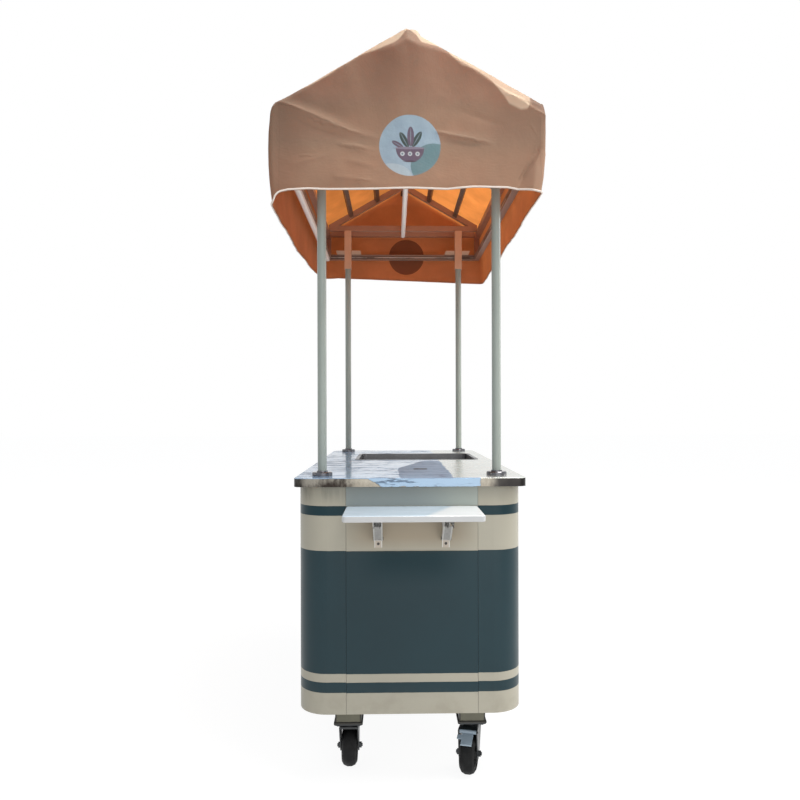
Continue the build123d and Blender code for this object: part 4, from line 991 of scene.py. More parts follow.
    def sunlit_strip(self, g: Graph, colour: Socket, cloud: Socket) -> Socket:
        """Paints sunlight on the strip under the roof's edge and darkens the corner beside it.

        Args:
            g: The material's graph.
            colour: The cloth's colour.
            cloud: The noise that the strip's edge follows.

        Returns:
            The bleached colour.
        """
        across = g.place(Axis.X)
        roof = g.math("MULTIPLY_ADD", g.aside(), -self.fall, self.ridge_z)
        below = g.math("SUBTRACT", roof, g.place(Axis.Z))
        below = g.math("ADD", below, g.span(cloud, *MIDDLE, *self.strip_wander))
        corner = g.times(g.span(across, *self.corner_x), g.span(below, *self.corner_depth))
        colour = g.mix(g.times(corner, self.corner_share), colour, dim(self.colour, self.corner_shade))
        lit = g.math("MULTIPLY_ADD", g.span(across, *self.lit_x), g.span(below, *self.lit_depth, *self.lit_share), 1.0)
        # The painted sunlit strip
        wear_and_painted_light = g.math("SUBTRACT", below, self.strip_depth(g))
        wear_and_painted_light = g.times(g.span(wear_and_painted_light, *self.strip_blur, 0.0, self.sunlight_share), lit)
        return g.mix(wear_and_painted_light, colour, self.sunlit)

    def make(self) -> bpy.types.Material:
        """Builds the material.

        Returns:
            The material.
        """
        g = Graph(self.name)
        cloud = g.noise(3.2, 4.0, 0.6)
        colour = g.mix(g.span(cloud, 0.3, 0.72), dim(self.colour, self.cloud_shade), self.colour)
        slub = g.span(g.noise(420.0, 2.0, stretch=(0.08, 0.08, 1.0)), 0.35, 0.7)
        bright = tuple(min(1.0, c) for c in dim(self.colour, self.slub_gain))
        colour = g.mix(g.times(slub, self.slub_share), colour, bright)
        seam = g.apart(g.aside(), self.seam_x)
        colour = g.mix(g.span(seam, *self.seam_half, 0.0, self.seam_share), colour, dim(self.colour, self.seam_shade))
        mask, x, up = self.disc(g)
        thin = g.span(g.noise(7.0, 5.0, 0.65), 0.28, 0.72)
        through = g.mix(thin, dim(self.through, self.thin_shade), self.through)
        if self.face is Face.OUTSIDE:
            colour = self.shaded(g, colour)
            if self.rim:
                colour, through = self.sunlit_roof_and_shaded_rim(g, colour, through)
            else:
                colour = self.sunlit_strip(g, colour, cloud)
            colour = g.mix(g.times(mask, self.ink), colour, self.picture(g, x, up))
        else:
            colour = g.mix(g.times(mask, self.ink_behind), colour, self.backing)
            through = g.mix(mask, through, dim(self.through, self.ink_through))
        threads = g.math("ADD", g.weave(self.thread, Axis.X), g.weave(self.thread, Axis.Y))
        threads = g.math("ADD", g.weave(self.thread, Axis.Z), threads)
        fine = g.bump(g.times(threads, 0.5), self.thread_depth)
        normal = g.bump(g.noise(16.0, 5.0, 0.6), self.crumple, fine)
        if self.face is Face.OUTSIDE and not self.rim:
            normal = g.bump(self.folds(g), self.pinch_rise, normal)
        cloth = g.surface(Base_Color=colour, Roughness=self.roughness, Normal=normal, Sheen_Weight=self.nap,
                          Sheen_Roughness=self.nap_roughness, Specular_IOR_Level=self.specular)
        glow = g.tree.nodes.new("ShaderNodeBsdfTranslucent")
        g.set(glow.inputs["Color"], through)
        g.set(glow.inputs["Normal"], normal)
        blend = g.tree.nodes.new("ShaderNodeMixShader")
        blend.inputs[0].default_value = self.share
        g.set(blend.inputs[1], cloth.outputs[0])
        g.set(blend.inputs[2], glow.outputs[0])
        return g.close(blend.outputs[0])


@dataclass(frozen=True)
class Moulded:
    """Rubber, plastic or board: fine grain, scuffs and a little dust."""

    name: str
    colour: Colour
    wear_and_painted_light: Colour
    roughness: float = 0.55
    grain: float = 900.0
    depth: float = 0.00008
    scuff: float = 0.35
    uneven: float = 0.09
    specular: float = 0.5

    def make(self) -> bpy.types.Material:
        """Builds the material.

        Returns:
            The material.
        """
        g = Graph(self.name)
        wear = g.span(g.noise(24.0, 6.0, 0.65), 0.48, 0.78, 0.0, self.scuff)
        colour = g.mix(wear, self.colour, self.wear_and_painted_light)
        rough = g.span(g.noise(40.0, 4.0), *MIDDLE, self.roughness - self.uneven, self.roughness + self.uneven)
        normal = g.bump(g.noise(self.grain, 3.0), self.depth)
        return g.close(g.surface(Base_Color=colour, Roughness=rough, Normal=normal,
                                 Specular_IOR_Level=self.specular).outputs[0])


@dataclass(frozen=True)
class Laminate:
    """A white shelf board: a glossy top sheet over a whiter moulded edge, with a painted sky reflection tinting the
    top and a painted highlight on its right.
    """

    name: str
    top_z: float
    # The top's bluish tint is a painted sky reflection, and the pale part to its right a painted highlight
    top: Colour = srgb(194, 213, 229)
    top_highlight: Colour = srgb(236, 240, 242)
    edge: Colour = srgb(195, 197, 199)
    highlight_x: float = 0.126
    highlight_slope: float = 0.4
    highlight_blur: float = 0.014
    highlight_share: float = 0.8
    top_shade: float = 0.96
    edge_shade: float = 0.95
    back_y: float = -0.662
    sheet_depth: Span = (0.0024, 0.0008)
    roughness: Span = (0.20, 0.27)
    grain: float = 0.00001

    def make(self) -> bpy.types.Material:
        """Builds the material.

        Returns:
            The material.
        """
        g = Graph(self.name)
        sheet = g.span(g.place(Axis.Z), *(self.top_z - depth for depth in self.sheet_depth))
        cloud = g.span(g.noise(12.0, 4.0), *MIDDLE)
        top = g.mix(cloud, dim(self.top, self.top_shade), self.top)
        # Painted highlight on the right of the top
        across = g.math("SUBTRACT", g.place(Axis.X), self.highlight_x)
        along = g.math("SUBTRACT", g.place(Axis.Y), self.back_y)
        across = g.math("SUBTRACT", across, g.times(along, self.highlight_slope))
        top = g.mix(g.span(across, -self.highlight_blur, self.highlight_blur, 0.0, self.highlight_share), top, self.top_highlight)
        edge = g.mix(cloud, dim(self.edge, self.edge_shade), self.edge)
        rub = g.span(g.noise(140.0, 3.0, stretch=(0.1, 1.0, 1.0)), *MIDDLE, *self.roughness)
        return g.close(g.surface(Base_Color=g.mix(sheet, edge, top), Roughness=rub,
                                 Normal=g.bump(g.noise(500.0, 3.0), self.grain)).outputs[0])


@dataclass(frozen=True)
class ChannelZinc:
    """Zinc-plated bracket channels: bright flanges and, between them, a rubbed middle made greyer with painted shade.
    """

    name: str
    flange: Colour = srgb(208, 208, 205)
    # Painted shade on the recessed middle between the flanges
    shaded_web: Colour = srgb(184, 183, 181)
    foot: Colour = srgb(176, 166, 154)
    foot_z: float = 0.744
    mid_x: float = 0.005
    half_pitch: float = 0.1015
    half_web: float = 0.0094
    web_shade: float = 0.8
    web_blur: float = 0.0003
    foot_blur: float = 0.0005
    roughness: Span = (0.28, 0.42)
    metallic: float = 0.35
    scratch: float = 0.00003

    def make(self) -> bpy.types.Material:
        """Builds the material.

        Returns:
            The material.
        """
        g = Graph(self.name)
        aside = g.apart(g.apart(g.place(Axis.X), self.mid_x), self.half_pitch)
        between = g.span(aside, self.half_web + self.web_blur, self.half_web - self.web_blur)
        rub = g.span(g.noise(120.0, 4.0, stretch=(1.0, 1.0, 0.2)), *MIDDLE)
        shaded_web = g.mix(rub, dim(self.shaded_web, self.web_shade), self.shaded_web)
        low = g.span(g.place(Axis.Z), self.foot_z + self.foot_blur, self.foot_z - self.foot_blur)
        shaded_web = g.mix(low, shaded_web, self.foot)
        colour = g.mix(between, self.flange, shaded_web)
        rough = g.span(rub, 0.0, 1.0, *self.roughness)
        return g.close(g.surface(Base_Color=colour, Metallic=self.metallic, Roughness=rough,
                                 Normal=g.bump(rub, self.scratch)).outputs[0])


@dataclass(frozen=True)
class Plywood:
    """The counter's board: long grain and thin plies at its edges."""

    name: str
    colour: Colour = srgb(168, 138, 100)
    grain: Colour = srgb(122, 92, 60)
    glue: Colour = srgb(98, 72, 48)
    ply: float = 0.003
    glue_share: float = 0.35
    roughness: float = 0.7
    grain_depth: float = 0.0002

    def make(self) -> bpy.types.Material:
        """Builds the material.

        Returns:
            The material.
        """
        g = Graph(self.name)
        grain = g.noise(60.0, 6.0, 0.6, stretch=(1.0, 0.05, 1.0))
        ply = g.span(g.weave(self.ply, Axis.Z), -0.2, 0.2)
        colour = g.mix(g.span(grain, 0.35, 0.65), self.colour, self.grain)
        colour = g.mix(g.times(ply, self.glue_share), colour, self.glue)
        return g.close(g.surface(Base_Color=colour, Roughness=self.roughness,
                                 Normal=g.bump(grain, self.grain_depth)).outputs[0])


class Workshop:
    """Modelling moves that several sub-assemblies share."""

    @staticmethod
    def clear() -> None:
        """Deselects everything and leaves edit mode."""
        if bpy.context.object is not None and bpy.context.object.mode != "OBJECT":
            bpy.ops.object.mode_set(mode="OBJECT")
        bpy.ops.object.select_all(action="DESELECT")

    @staticmethod
    def take(piece: bpy.types.Object) -> None:
        """Makes a piece the only selected and the active one.

        Args:
            piece: The piece.
        """
        Workshop.clear()
        piece.select_set(True)
        bpy.context.view_layer.objects.active = piece

    @staticmethod
    def pick(piece: bpy.types.Object, wanted: Callable[[bmesh.types.BMFace], bool]) -> None:
        """Selects faces of the piece in edit mode.

        Args:
            piece: The piece, in edit mode.
            wanted: True for a face to select.
        """
        bm = bmesh.from_edit_mesh(piece.data)
        for part in (*bm.verts, *bm.edges, *bm.faces):
            part.select = False
        bm.select_mode = {"FACE"}
        for face in bm.faces:
            face.select_set(wanted(face))
        bm.select_flush_mode()
        bmesh.update_edit_mesh(piece.data)

    @staticmethod
    def seat(piece: bpy.types.Object) -> None:
        """Moves the piece's place into its mesh, so that its object sits at the origin.

        Args:
            piece: The piece.
        """
        Workshop.take(piece)
        bpy.ops.object.transform_apply(location=True, rotation=True, scale=True)

    @staticmethod
    def finish(piece: bpy.types.Object, name: str, material: bpy.types.Material, body: str, slot: str) -> None:
        """Names, dresses and hands a piece to its body.

        Args:
            piece: The piece.
            name: Its name.
            material: Its material.
            body: The body that carries it.
            slot: Not used.
        """
        piece.name = name
        piece.data.name = name
        piece.data.materials.clear()
        piece.data.materials.append(material)
        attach(piece, body)
        LOG.info("made %s on %s", name, body)

    @staticmethod
    def dress(nodes: Sequence[str], material: bpy.types.Material) -> None:
        """Gives CAD nodes a finish.

        Args:
            nodes: The nodes' names.
            material: The finish.
        """
        for node in nodes:
            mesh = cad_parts[node].data
            mesh.materials.clear()
            mesh.materials.append(material)
        LOG.info("dressed %s in %s", ", ".join(nodes), material.name)


@dataclass
class Canopy:
    """The canvas cover with its hem piping, and the painted frame and lamps under it."""

    half_w: float = 0.3960
    half_l: float = 0.7890
    mid_y: float = 0.078
    eave_z: float = 2.0300
    ridge_z: float = 2.2590
    rest_z: float = 2.2588
    rest_fall: float = 0.5776
    stub_z: float = 2.2516
    rail_z: float = 2.0325
    base_z: float = 1.76
    cloth: float = 0.0012
    piping_r: float = 0.0027
    cuts: int = 36
    softening: int = 5
    # Left side, then right side
    slack: Span = (-0.030, 0.018)
    hem_wave: float = 0.003
    rear_lean: float = 0.45
    rear_brow: float = 0.6
    brow_step: float = 0.012
    brow_lift: float = 0.75
    # Length at the sides, what the middle adds to it, and how wide the middle is
    brow_fade: Point = (0.06, 0.14, 0.16)
    flap_lift: float = 0.24
    least_out: float = -0.003
    # Height, then cells per metre
    gable_ripples: Table = ((0.0030, 6.0), (0.0018, 19.0))
    side_ripples: tuple[Point, Point] = ((0.004, 5.0, 2.0), (0.0018, 17.0, 9.0))
    roof_ripple: Point = (0.0012, 9.0, 5.0)
    loose_z: float = 1.95
    loose_drop: float = 0.15
    # Left side, then right side
    belly: Span = (0.014, 0.030)
    taut: float = 0.12
    sag: float = 0.006
    sag_pitch: float = 0.1285
    sag_end: Span = (0.46, 0.61)
    roof_gap: float = 0.0022
    rafters: Span = (0.61, 0.69)
    stub_half: float = 0.025
    stub_flat: float = 0.011
    stub_fall: float = 0.3
    rail_half: float = 0.3925
    end_blend: Span = (0.060, 0.004)
    side_blend: Span = (0.070, 0.004)
    eave_blend: float = 0.03
    ridge_lean: float = 0.009
    lean_up: float = 0.05
    lean_from: float = 0.2
    upward: Span = (0.3, 0.85)
    roof_up: float = 0.6
    rim_width: float = 0.012
    front_hem: Table = (
        (-0.405, 1.7270), (-0.394, 1.7310), (-0.384, 1.7560), (-0.372, 1.7660), (-0.350, 1.7720), (-0.298, 1.7755),
        (-0.240, 1.7740), (-0.007, 1.7765), (0.110, 1.7750), (0.184, 1.7830), (0.284, 1.7810), (0.345, 1.7690),
        (0.405, 1.7550),
    )
    rear_hem: Table = ((-0.405, 1.8150), (0.0, 1.8000), (0.405, 1.7830))
    left_swell: Table = (
        (1.733, 0.005), (1.770, 0.009), (1.812, 0.0135), (1.850, 0.0165), (1.900, 0.018), (1.950, 0.0175),
        (2.003, 0.012), (2.036, 0.001),
    )
    right_swell: Table = (
        (1.756, -0.020), (1.780, -0.016), (1.812, -0.009), (1.850, -0.003), (1.885, 0.002), (1.950, 0.003),
        (2.003, 0.000), (2.036, -0.001),
    )
    gable_lean: Table = (
        (1.733, 0.022), (1.790, 0.019), (1.880, 0.010), (1.950, 0.004), (2.030, 0.004), (2.260, 0.002),
    )
    brow: Table = (
        (-0.400, 0.014), (-0.200, 0.010), (-0.125, 0.006), (-0.050, 0.042), (0.000, 0.050), (0.050, 0.038),
        (0.110, 0.007), (0.210, 0.024), (0.340, 0.040), (0.400, 0.034),
    )
    creases: tuple[Fold, ...] = (
        ((-0.392, 2.038), (-0.186, 1.958), 0.011, 0.0120),
        ((-0.250, 1.970), (-0.100, 1.930), 0.009, 0.0065),
        ((-0.330, 1.985), (-0.200, 1.932), 0.012, -0.0060),
        ((-0.215, 1.918), (-0.130, 1.896), 0.008, 0.0050),
        ((-0.185, 1.864), (-0.112, 1.848), 0.008, 0.0045),
        ((0.072, 1.948), (0.232, 1.920), 0.009, 0.0085),
        ((0.110, 1.925), (0.200, 1.908), 0.010, -0.0040),
        ((0.150, 2.010), (0.270, 1.970), 0.014, -0.0050),
        ((-0.220, 1.814), (-0.110, 1.802), 0.007, 0.0045),
        ((-0.330, 1.852), (-0.240, 1.880), 0.008, 0.0035),
        ((0.385, 2.020), (0.270, 2.052), 0.014, 0.0110),
        ((-0.3835, 2.020), (-0.3835, 1.775), 0.005, 0.0040),
        ((0.3780, 2.000), (0.3780, 1.890), 0.005, 0.0035),
        ((0.316, 1.780), (0.366, 1.900), 0.009, -0.0060),
    )
    flap: Table = ((0.318, 1.785), (0.367, 1.893), (0.400, 1.900))
    outer: bpy.types.Material = field(init=False)
    inner: bpy.types.Material = field(init=False)
    sunlit_outer_roof: bpy.types.Material = field(init=False)
    sunlit_inner_roof: bpy.types.Material = field(init=False)

    @staticmethod
    def read(table: Table, place: float) -> float:
        """Reads a table of places and values, straight between its rows.

        Args:
            table: Rows of place and value.
            place: Where to read it.

        Returns:
            The value there.
        """
        return float(np.interp(place, *zip(*table)))

    @staticmethod
    def ease(value: float, start: float, end: float) -> float:
        """Eases from 0 to 1 over a stretch.

        Args:
            value: The value.
            start: Where the result leaves 0.
            end: Where it reaches 1.

        Returns:
            The eased share.
        """
        share = min(1.0, max(0.0, (value - start) / (end - start)))
        return share * share * (3.0 - 2.0 * share)

    def hem_height(self, x: float, y: float) -> float:
        """Height of the hem at a place on the outline.

        Args:
            x: Across, in metres.
            y: Along, in metres.

        Returns:
            The hem's height.
        """
        front, rear = self.read(self.front_hem, x), self.read(self.rear_hem, x)
        share = min(1.0, max(0.0, (y - self.mid_y + self.half_l) / (2 * self.half_l)))
        middle = math.sin(math.pi * share)
        slack = self.slack[1] * middle ** 0.7 if x > 0 else self.slack[0] * share * middle
        wave = self.hem_wave * math.sin(11.0 * y + 2.0 * x) * middle
        return front + (rear - front) * share + slack + wave

    def frame_cloth(self) -> bpy.types.Object:
        """Models the cover's sharp form: a box with no floor whose top is drawn up to a ridge.

        Returns:
            The piece, with an even grid of faces.
        """
        Workshop.clear()
        bpy.ops.mesh.primitive_cube_add(size=1.0, location=(0.0, self.mid_y, (self.base_z + self.eave_z) / 2))
        cover = bpy.context.object
        cover.scale = (2 * self.half_w, 2 * self.half_l, self.eave_z - self.base_z)
        Workshop.seat(cover)
        bpy.ops.object.mode_set(mode="EDIT")
        Workshop.pick(cover, lambda face: face.normal.z < -0.5)
        bpy.ops.mesh.delete(type="ONLY_FACE")
        bpy.ops.mesh.select_all(action="SELECT")
        bpy.ops.mesh.bisect(plane_co=(0.0, 0.0, 0.0), plane_no=(1.0, 0.0, 0.0))
        for part in (-0.5, 0.0, 0.5):
            bpy.ops.mesh.select_all(action="SELECT")
            bpy.ops.mesh.bisect(plane_co=(0.0, self.mid_y + part * self.half_l, 0.0), plane_no=(0.0, 1.0, 0.0))
        bpy.ops.mesh.select_mode(type="VERT")
        bm = bmesh.from_edit_mesh(cover.data)
        for vert in bm.verts:
            vert.select_set(abs(vert.co.x) < 1e-5 and vert.co.z > self.eave_z - 1e-4)
        bmesh.update_edit_mesh(cover.data)
        bpy.ops.transform.translate(value=(0.0, 0.0, self.ridge_z - self.eave_z))
        bpy.ops.mesh.select_all(action="SELECT")
        bpy.ops.mesh.subdivide(number_cuts=self.cuts)
        Workshop.pick(cover, lambda face: face.normal.y < -0.5)
        bpy.ops.mesh.subdivide(number_cuts=1)
        bpy.ops.object.mode_set(mode="OBJECT")
        return cover

    def hang(self, cover: bpy.types.Object) -> None:
        """Draws the walls down to the hem line and rounds the cover's edges.

        Args:
            cover: The cover's sharp grid.
        """
        rise = (self.ridge_z - self.eave_z) / self.half_w
        for vert in cover.data.vertices:
            x, y, z = vert.co
            top = self.ridge_z - abs(x) * rise
            if z < top - 1e-4:
                hem = self.hem_height(x, y)
                vert.co.z = hem + (z - self.base_z) / (top - self.base_z) * (top - hem)
        Workshop.take(cover)
        bpy.ops.object.mode_set(mode="EDIT")
        bpy.ops.mesh.select_mode(type="VERT")
        bpy.ops.mesh.select_all(action="SELECT")
        bpy.ops.mesh.vertices_smooth(factor=0.5, repeat=self.softening)
        bm = bmesh.from_edit_mesh(cover.data)
        for vert in bm.verts:
            if any(edge.is_boundary for edge in vert.link_edges):
                vert.co.z = self.hem_height(vert.co.x, vert.co.y)
        bmesh.update_edit_mesh(cover.data)
        bpy.ops.object.mode_set(mode="OBJECT")

    @staticmethod
    def near(x: float, z: float, start: Span, end: Span, width: float) -> float:
        """How near a point of a gable is to a crease.

        Args:
            x: The point, across.
            z: The point, up.
            start: The crease's first end.
            end: The crease's other end.
            width: The crease's half width.

        Returns:
            1 on the crease, falling to 0 beside it and towards its ends.
        """
        a, b, p = Vector(start), Vector(end), Vector((x, z))
        run = b - a
        share = min(1.0, max(0.0, (p - a).dot(run) / run.length_squared))
        gap = (p - a - run * share).length
        return math.exp(-gap / width) * math.sin(math.pi * (0.12 + 0.76 * share))

    def gable_out(self, x: float, z: float, front: bool) -> float:
        """How far a gable's cloth stands out from its flat cut.

        Args:
            x: Across, in metres.
            z: Up, in metres.
            front: True for the gable at the shelf's end.

        Returns:
            Metres outwards.
        """
        x = x if front else -x
        out = self.read(self.gable_lean, z) * (1.0 if front else self.rear_lean)
        slope = math.atan2(self.ridge_z - self.eave_z, self.half_w)
        below = max(0.0, (self.ridge_z - abs(x) * math.tan(slope) - z) * math.cos(slope))
        steps = range(-3, 4)
        width = sum(self.read(self.brow, x + self.brow_step * step) for step in steps) / len(steps)
        side_fade, more, spread = self.brow_fade
        fade = side_fade + more * math.exp(-((x / spread) ** 2))
        lift = below / width if below < width else math.exp((width - below) / fade)
        out += self.brow_lift * width * lift * (1.0 if front else self.rear_brow)
        for (rise, cells), layer in zip(self.gable_ripples, (3.0 if front else 9.0, 5.0)):
            out += rise * noise.noise(Vector((x * cells, z * cells, layer)))
        for start, end, half, rise in self.creases:
            out += rise * self.near(x, z, start, end, half)
        if x > self.flap[0][0]:
            out += self.flap_lift * max(0.0, self.read(self.flap, x) - z)
        return max(out, self.least_out)

    def side_out(self, x: float, y: float, z: float) -> float:
        """How far a side wall stands out from its flat cut.

        Args:
            x: Across, in metres.
            y: Along, in metres.
            z: Up, in metres.

        Returns:
            Metres outwards.
        """
        loose = max(0.0, min(1.0, (self.loose_z - z) / self.loose_drop))
        share = min(1.0, max(0.0, (y - self.mid_y + self.half_l) / (2 * self.half_l)))
        if x > 0:
            belly = self.belly[1] * (1.0 - (1.0 - share) ** 2.2)
        else:
            belly = self.belly[0] * math.sin(math.pi * share) ** 0.6
        fold = 0.0
        for (rise, along, up), layer in zip(self.side_ripples, (1.0 if x > 0 else 7.0, 2.0)):
            fold += rise * noise.noise(Vector((y * along, z * up, layer)))
        swell = self.read(self.right_swell if x > 0 else self.left_swell, z)
        return swell + belly * loose + fold * (self.taut + (1.0 - self.taut) * loose)

    def roof_out(self, x: float, y: float) -> float:
        """How far the roof's cloth lies from its flat cut.

        Args:
            x: Across, in metres.
            y: Along, in metres.

        Returns:
            Metres upwards, below zero where it sags between the purlins.
        """
        between = 1.0 - self.ease(abs(y - self.mid_y), *self.sag_end)
        sag = -self.sag * math.sin(math.pi * abs(x) / self.sag_pitch) ** 2 * between
        rise, across, along = self.roof_ripple
        return sag + self.roof_gap + rise * noise.noise(Vector((x * across, y * along, 4.0)))

    def rest(self, aside: float, away: float) -> float:
        """The height at which the roof rests on the frame.

        Args:
            aside: Across from the ridge, in metres.
            away: Along from the middle, in metres.

        Returns:
            The lowest height that clears the rafters, the ridge and the end rails.
        """
        if away < self.rafters[0]:
            return 0.0
        if away < self.rafters[1]:
            return self.rest_z - self.rest_fall * aside
        if aside < self.stub_half:
            return self.stub_z - self.stub_fall * max(0.0, aside - self.stub_flat)
        return self.rail_z if aside < self.rail_half else 0.0

    def shape(self, cover: bpy.types.Object) -> None:
        """Leans, swells, sags and creases the cover.

        Args:
            cover: The rounded cover.
        """
        mesh = cover.data
        normals = [vert.normal.z for vert in mesh.vertices]
        for vert, up in zip(mesh.vertices, normals):
            x, y, z = vert.co
            away = y - self.mid_y
            at_end = self.ease(abs(away), *(self.half_l - part for part in self.end_blend))
            at_side = self.ease(abs(x), *(self.half_w - part for part in self.side_blend))
            at_side *= 1.0 - self.ease(z, self.eave_z, self.eave_z + self.eave_blend)
            vert.co.y += math.copysign(at_end, away) * self.gable_out(x, z, away < 0)
            vert.co.x += math.copysign(at_side, x) * self.side_out(x, y, z)
            lean = self.ridge_lean * self.ease(z, self.eave_z + self.lean_up, self.ridge_z)
            vert.co.x -= lean * self.ease(-away, self.lean_from, self.half_l)
            vert.co.z += self.ease(up, *self.upward) * (1.0 - at_end) * self.roof_out(x, y)
            if up > self.upward[0]:
                vert.co.z = max(vert.co.z, self.rest(abs(vert.co.x), abs(away)))
        mesh.update()

    def stitch(self, cover: bpy.types.Object) -> bpy.types.Object:
        """Draws the white piping along the outside of the cover's hem.

        Args:
            cover: The shaped cover, still one sheet.

        Returns:
            The piping.
        """
        Workshop.take(cover)
        bpy.ops.object.duplicate()
        piping = bpy.context.object
        bpy.ops.object.mode_set(mode="EDIT")
        bm = bmesh.from_edit_mesh(piping.data)
        rim = {edge for edge in bm.edges if edge.is_boundary}
        for vert in {vert for edge in rim for vert in edge.verts}:
            flat = Vector((vert.normal.x, vert.normal.y, 0.0)).normalized()
            vert.co += flat * (self.piping_r + self.cloth / 2) + Vector((0.0, 0.0, self.piping_r))
        bmesh.ops.delete(bm, geom=list(bm.faces), context="FACES_ONLY")
        bmesh.ops.delete(bm, geom=[edge for edge in bm.edges if edge not in rim], context="EDGES")
        bmesh.ops.delete(bm, geom=[vert for vert in bm.verts if not vert.link_edges], context="VERTS")
        bmesh.update_edit_mesh(piping.data)
        bpy.ops.object.mode_set(mode="OBJECT")
        bpy.ops.object.convert(target="CURVE")
        piping.data.bevel_depth = self.piping_r
        piping.data.bevel_resolution = 3
        bpy.ops.object.convert(target="MESH")
        bpy.ops.object.shade_smooth()
        return piping

    def thicken(self, cover: bpy.types.Object) -> None:
        """Gives the cover its thickness, its inner face and its smooth shading.

        Args:
            cover: The shaped cover.
        """
        Workshop.take(cover)
        cover.data.materials.clear()
        for material in (self.outer, self.sunlit_outer_roof, self.inner, self.sunlit_inner_roof):
            cover.data.materials.append(material)
        for poly in cover.data.polygons:
            inside = abs(poly.center.y - self.mid_y) < self.half_l - self.rim_width
            # Faces that look up take the sunlit roof copies of the cloth
            poly.material_index = int(poly.normal.z > self.roof_up and inside)
        skin = cover.modifiers.new("skin", "SOLIDIFY")
        skin.thickness = self.cloth
        skin.offset = 0.0
        skin.material_offset = 2
        skin.material_offset_rim = 0
        bpy.ops.object.modifier_apply(modifier="skin")
        bpy.ops.object.shade_smooth()

    def finishes(self) -> None:
        """Makes the cloth's finishes."""
        # The roof's copies are sunlit ones of the walls' cloth, paler and glowing more; the inner faces' orange is
        # partly the cloth's colour and partly painted glow
        tan, rust = srgb(164, 140, 119), srgb(210, 126, 94)
        self.outer = Canvas("canvas_wall_outside", Face.OUTSIDE, tan, srgb(240, 174, 122), 0.28).make()
        self.sunlit_outer_roof = Canvas("canvas_roof_outside_sunlit", Face.OUTSIDE, tan, srgb(255, 236, 208), 0.40, sunlight_share=0.25,
                                 rim=True, crown=0.28).make()
        self.inner = Canvas("canvas_wall_inside", Face.INSIDE, rust, srgb(255, 204, 156), 0.64).make()
        self.sunlit_inner_roof = Canvas("canvas_roof_inside_sunlit", Face.INSIDE, srgb(222, 138, 84), srgb(255, 178, 108),
                                 0.95).make()

    def build(self) -> None:
        """Builds the cover and its piping and dresses the frame and lamps."""
        self.finishes()
        cover = self.frame_cloth()
        self.hang(cover)
        self.shape(cover)
        piping = self.stitch(cover)
        self.thicken(cover)
        cover.name = "canvas_cover"
        cover.data.name = "canvas_cover"
        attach(cover, CART)
        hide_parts("canopy_cover")
        thread = Moulded("piping_white", srgb(222, 210, 201), srgb(196, 184, 172), 0.6, 700.0, 0.0002, 0.3).make()
        Workshop.finish(piping, "hem_piping", thread, CART, "canvas")
        LOG.info("made canvas_cover on %s", CART)
        # Copies of the frame's one paint, tinted by the canopy's light: the truss and sleeves lit orange through the
        # cloth, the purlins dark as in shade, the lower rails with a painted highlight
        truss = PaintedSteel("truss_paint_lit_orange", srgb(168, 126, 106), 0.86, 0.4).make()
        Workshop.dress(("canopy_upper_rails", "canopy_corner_struts", "canopy_rafters"), truss)
        Workshop.dress(("canopy_lower_rails",), HighlitTube("lower_rail_paint").make())
        Workshop.dress(("post_sleeves",), PaintedSteel("sleeve_paint_lit_orange", srgb(212, 170, 142), 0.88, 0.4).make())
        Workshop.dress(("canopy_purlins",), PaintedSteel("purlin_paint_shaded", srgb(96, 72, 56), 0.86, 0.45).make())
        lamp = Moulded("lamp_white", srgb(232, 228, 224), srgb(214, 208, 202), 0.4, 800.0, 0.00003, 0.2).make()
        Workshop.dress(("light_battens",), lamp)


@dataclass
class Cabinet:
    """The striped panels and doors, and the steelwork inside."""

    panel_lift: float = -0.0012

    def build(self) -> None:
        """Dresses the cabinet's nodes."""
        corner = BandedPaint("banded_paint").make()
        # The front end panel carries the painted shadow, shade and reflection round the shelf
        middle = BandedPaint("banded_paint_end_panel", lift=self.panel_lift, by_shelf=True).make()
        doors = BandedPaint("banded_paint_doors", inside=srgb(164, 160, 146)).make()
        Workshop.dress(("corner_panels", "rear_end_panel", "customer_side_panel", "operator_side_panel"), corner)
        Workshop.dress(("front_door", "rear_door"), doors)
        Workshop.dress(("front_end_panel",), middle)
        Workshop.dress(("base_rails", "cabinet_uprights", "top_rails"),
                       PaintedSteel("inner_frame_paint", srgb(88, 90, 88), 0.85, 0.45).make())
        Workshop.dress(("caster_risers",), EdgedPaint("riser_paint").make())
        Workshop.dress(("floor_pan", "inner_shelf"),
                       BareMetal("galvanised_sheet", srgb(150, 154, 156), 0.42, (1.0, 1.0, 1.0), 0.00001, 0.5).make())
        Workshop.dress(("hinge_leaves", "hinge_pins", "front_door_leaves", "rear_door_leaves"),
                       BareMetal("hinge_steel", srgb(168, 168, 166), 0.3).make())
        Workshop.dress(("front_door_handle", "rear_door_handle"),
                       BareMetal("handle_chrome", srgb(206, 208, 210), 0.16, (1.0, 1.0, 0.05), 0.000005, 0.1).make())


@dataclass
class Counter:
    """The filmed steel counter with its sunk pan, and the posts that stand on it."""

    def build(self) -> None:
        """Dresses the counter's and posts' nodes."""
        Workshop.dress(("counter_sheet",), FilmedCounter("filmed_steel").make())
        Workshop.dress(("food_pan",), BareMetal("pan_steel", srgb(92, 92, 94), 0.30, tarnish_and_dark_reflection=0.5).make())
        Workshop.dress(("counter_board",), Plywood("counter_plywood").make())
        Workshop.dress(("canopy_posts",), PaintedSteel("post_paint", srgb(150, 159, 153), 0.92, 0.36).make())
        # The dark base and strong dark patches on the flanges' chrome are painted dark reflections
        Workshop.dress(("post_flanges",),
                       BareMetal("flange_chrome", srgb(104, 104, 108), 0.14, (1.0, 1.0, 0.1), 0.000005, 0.9).make())


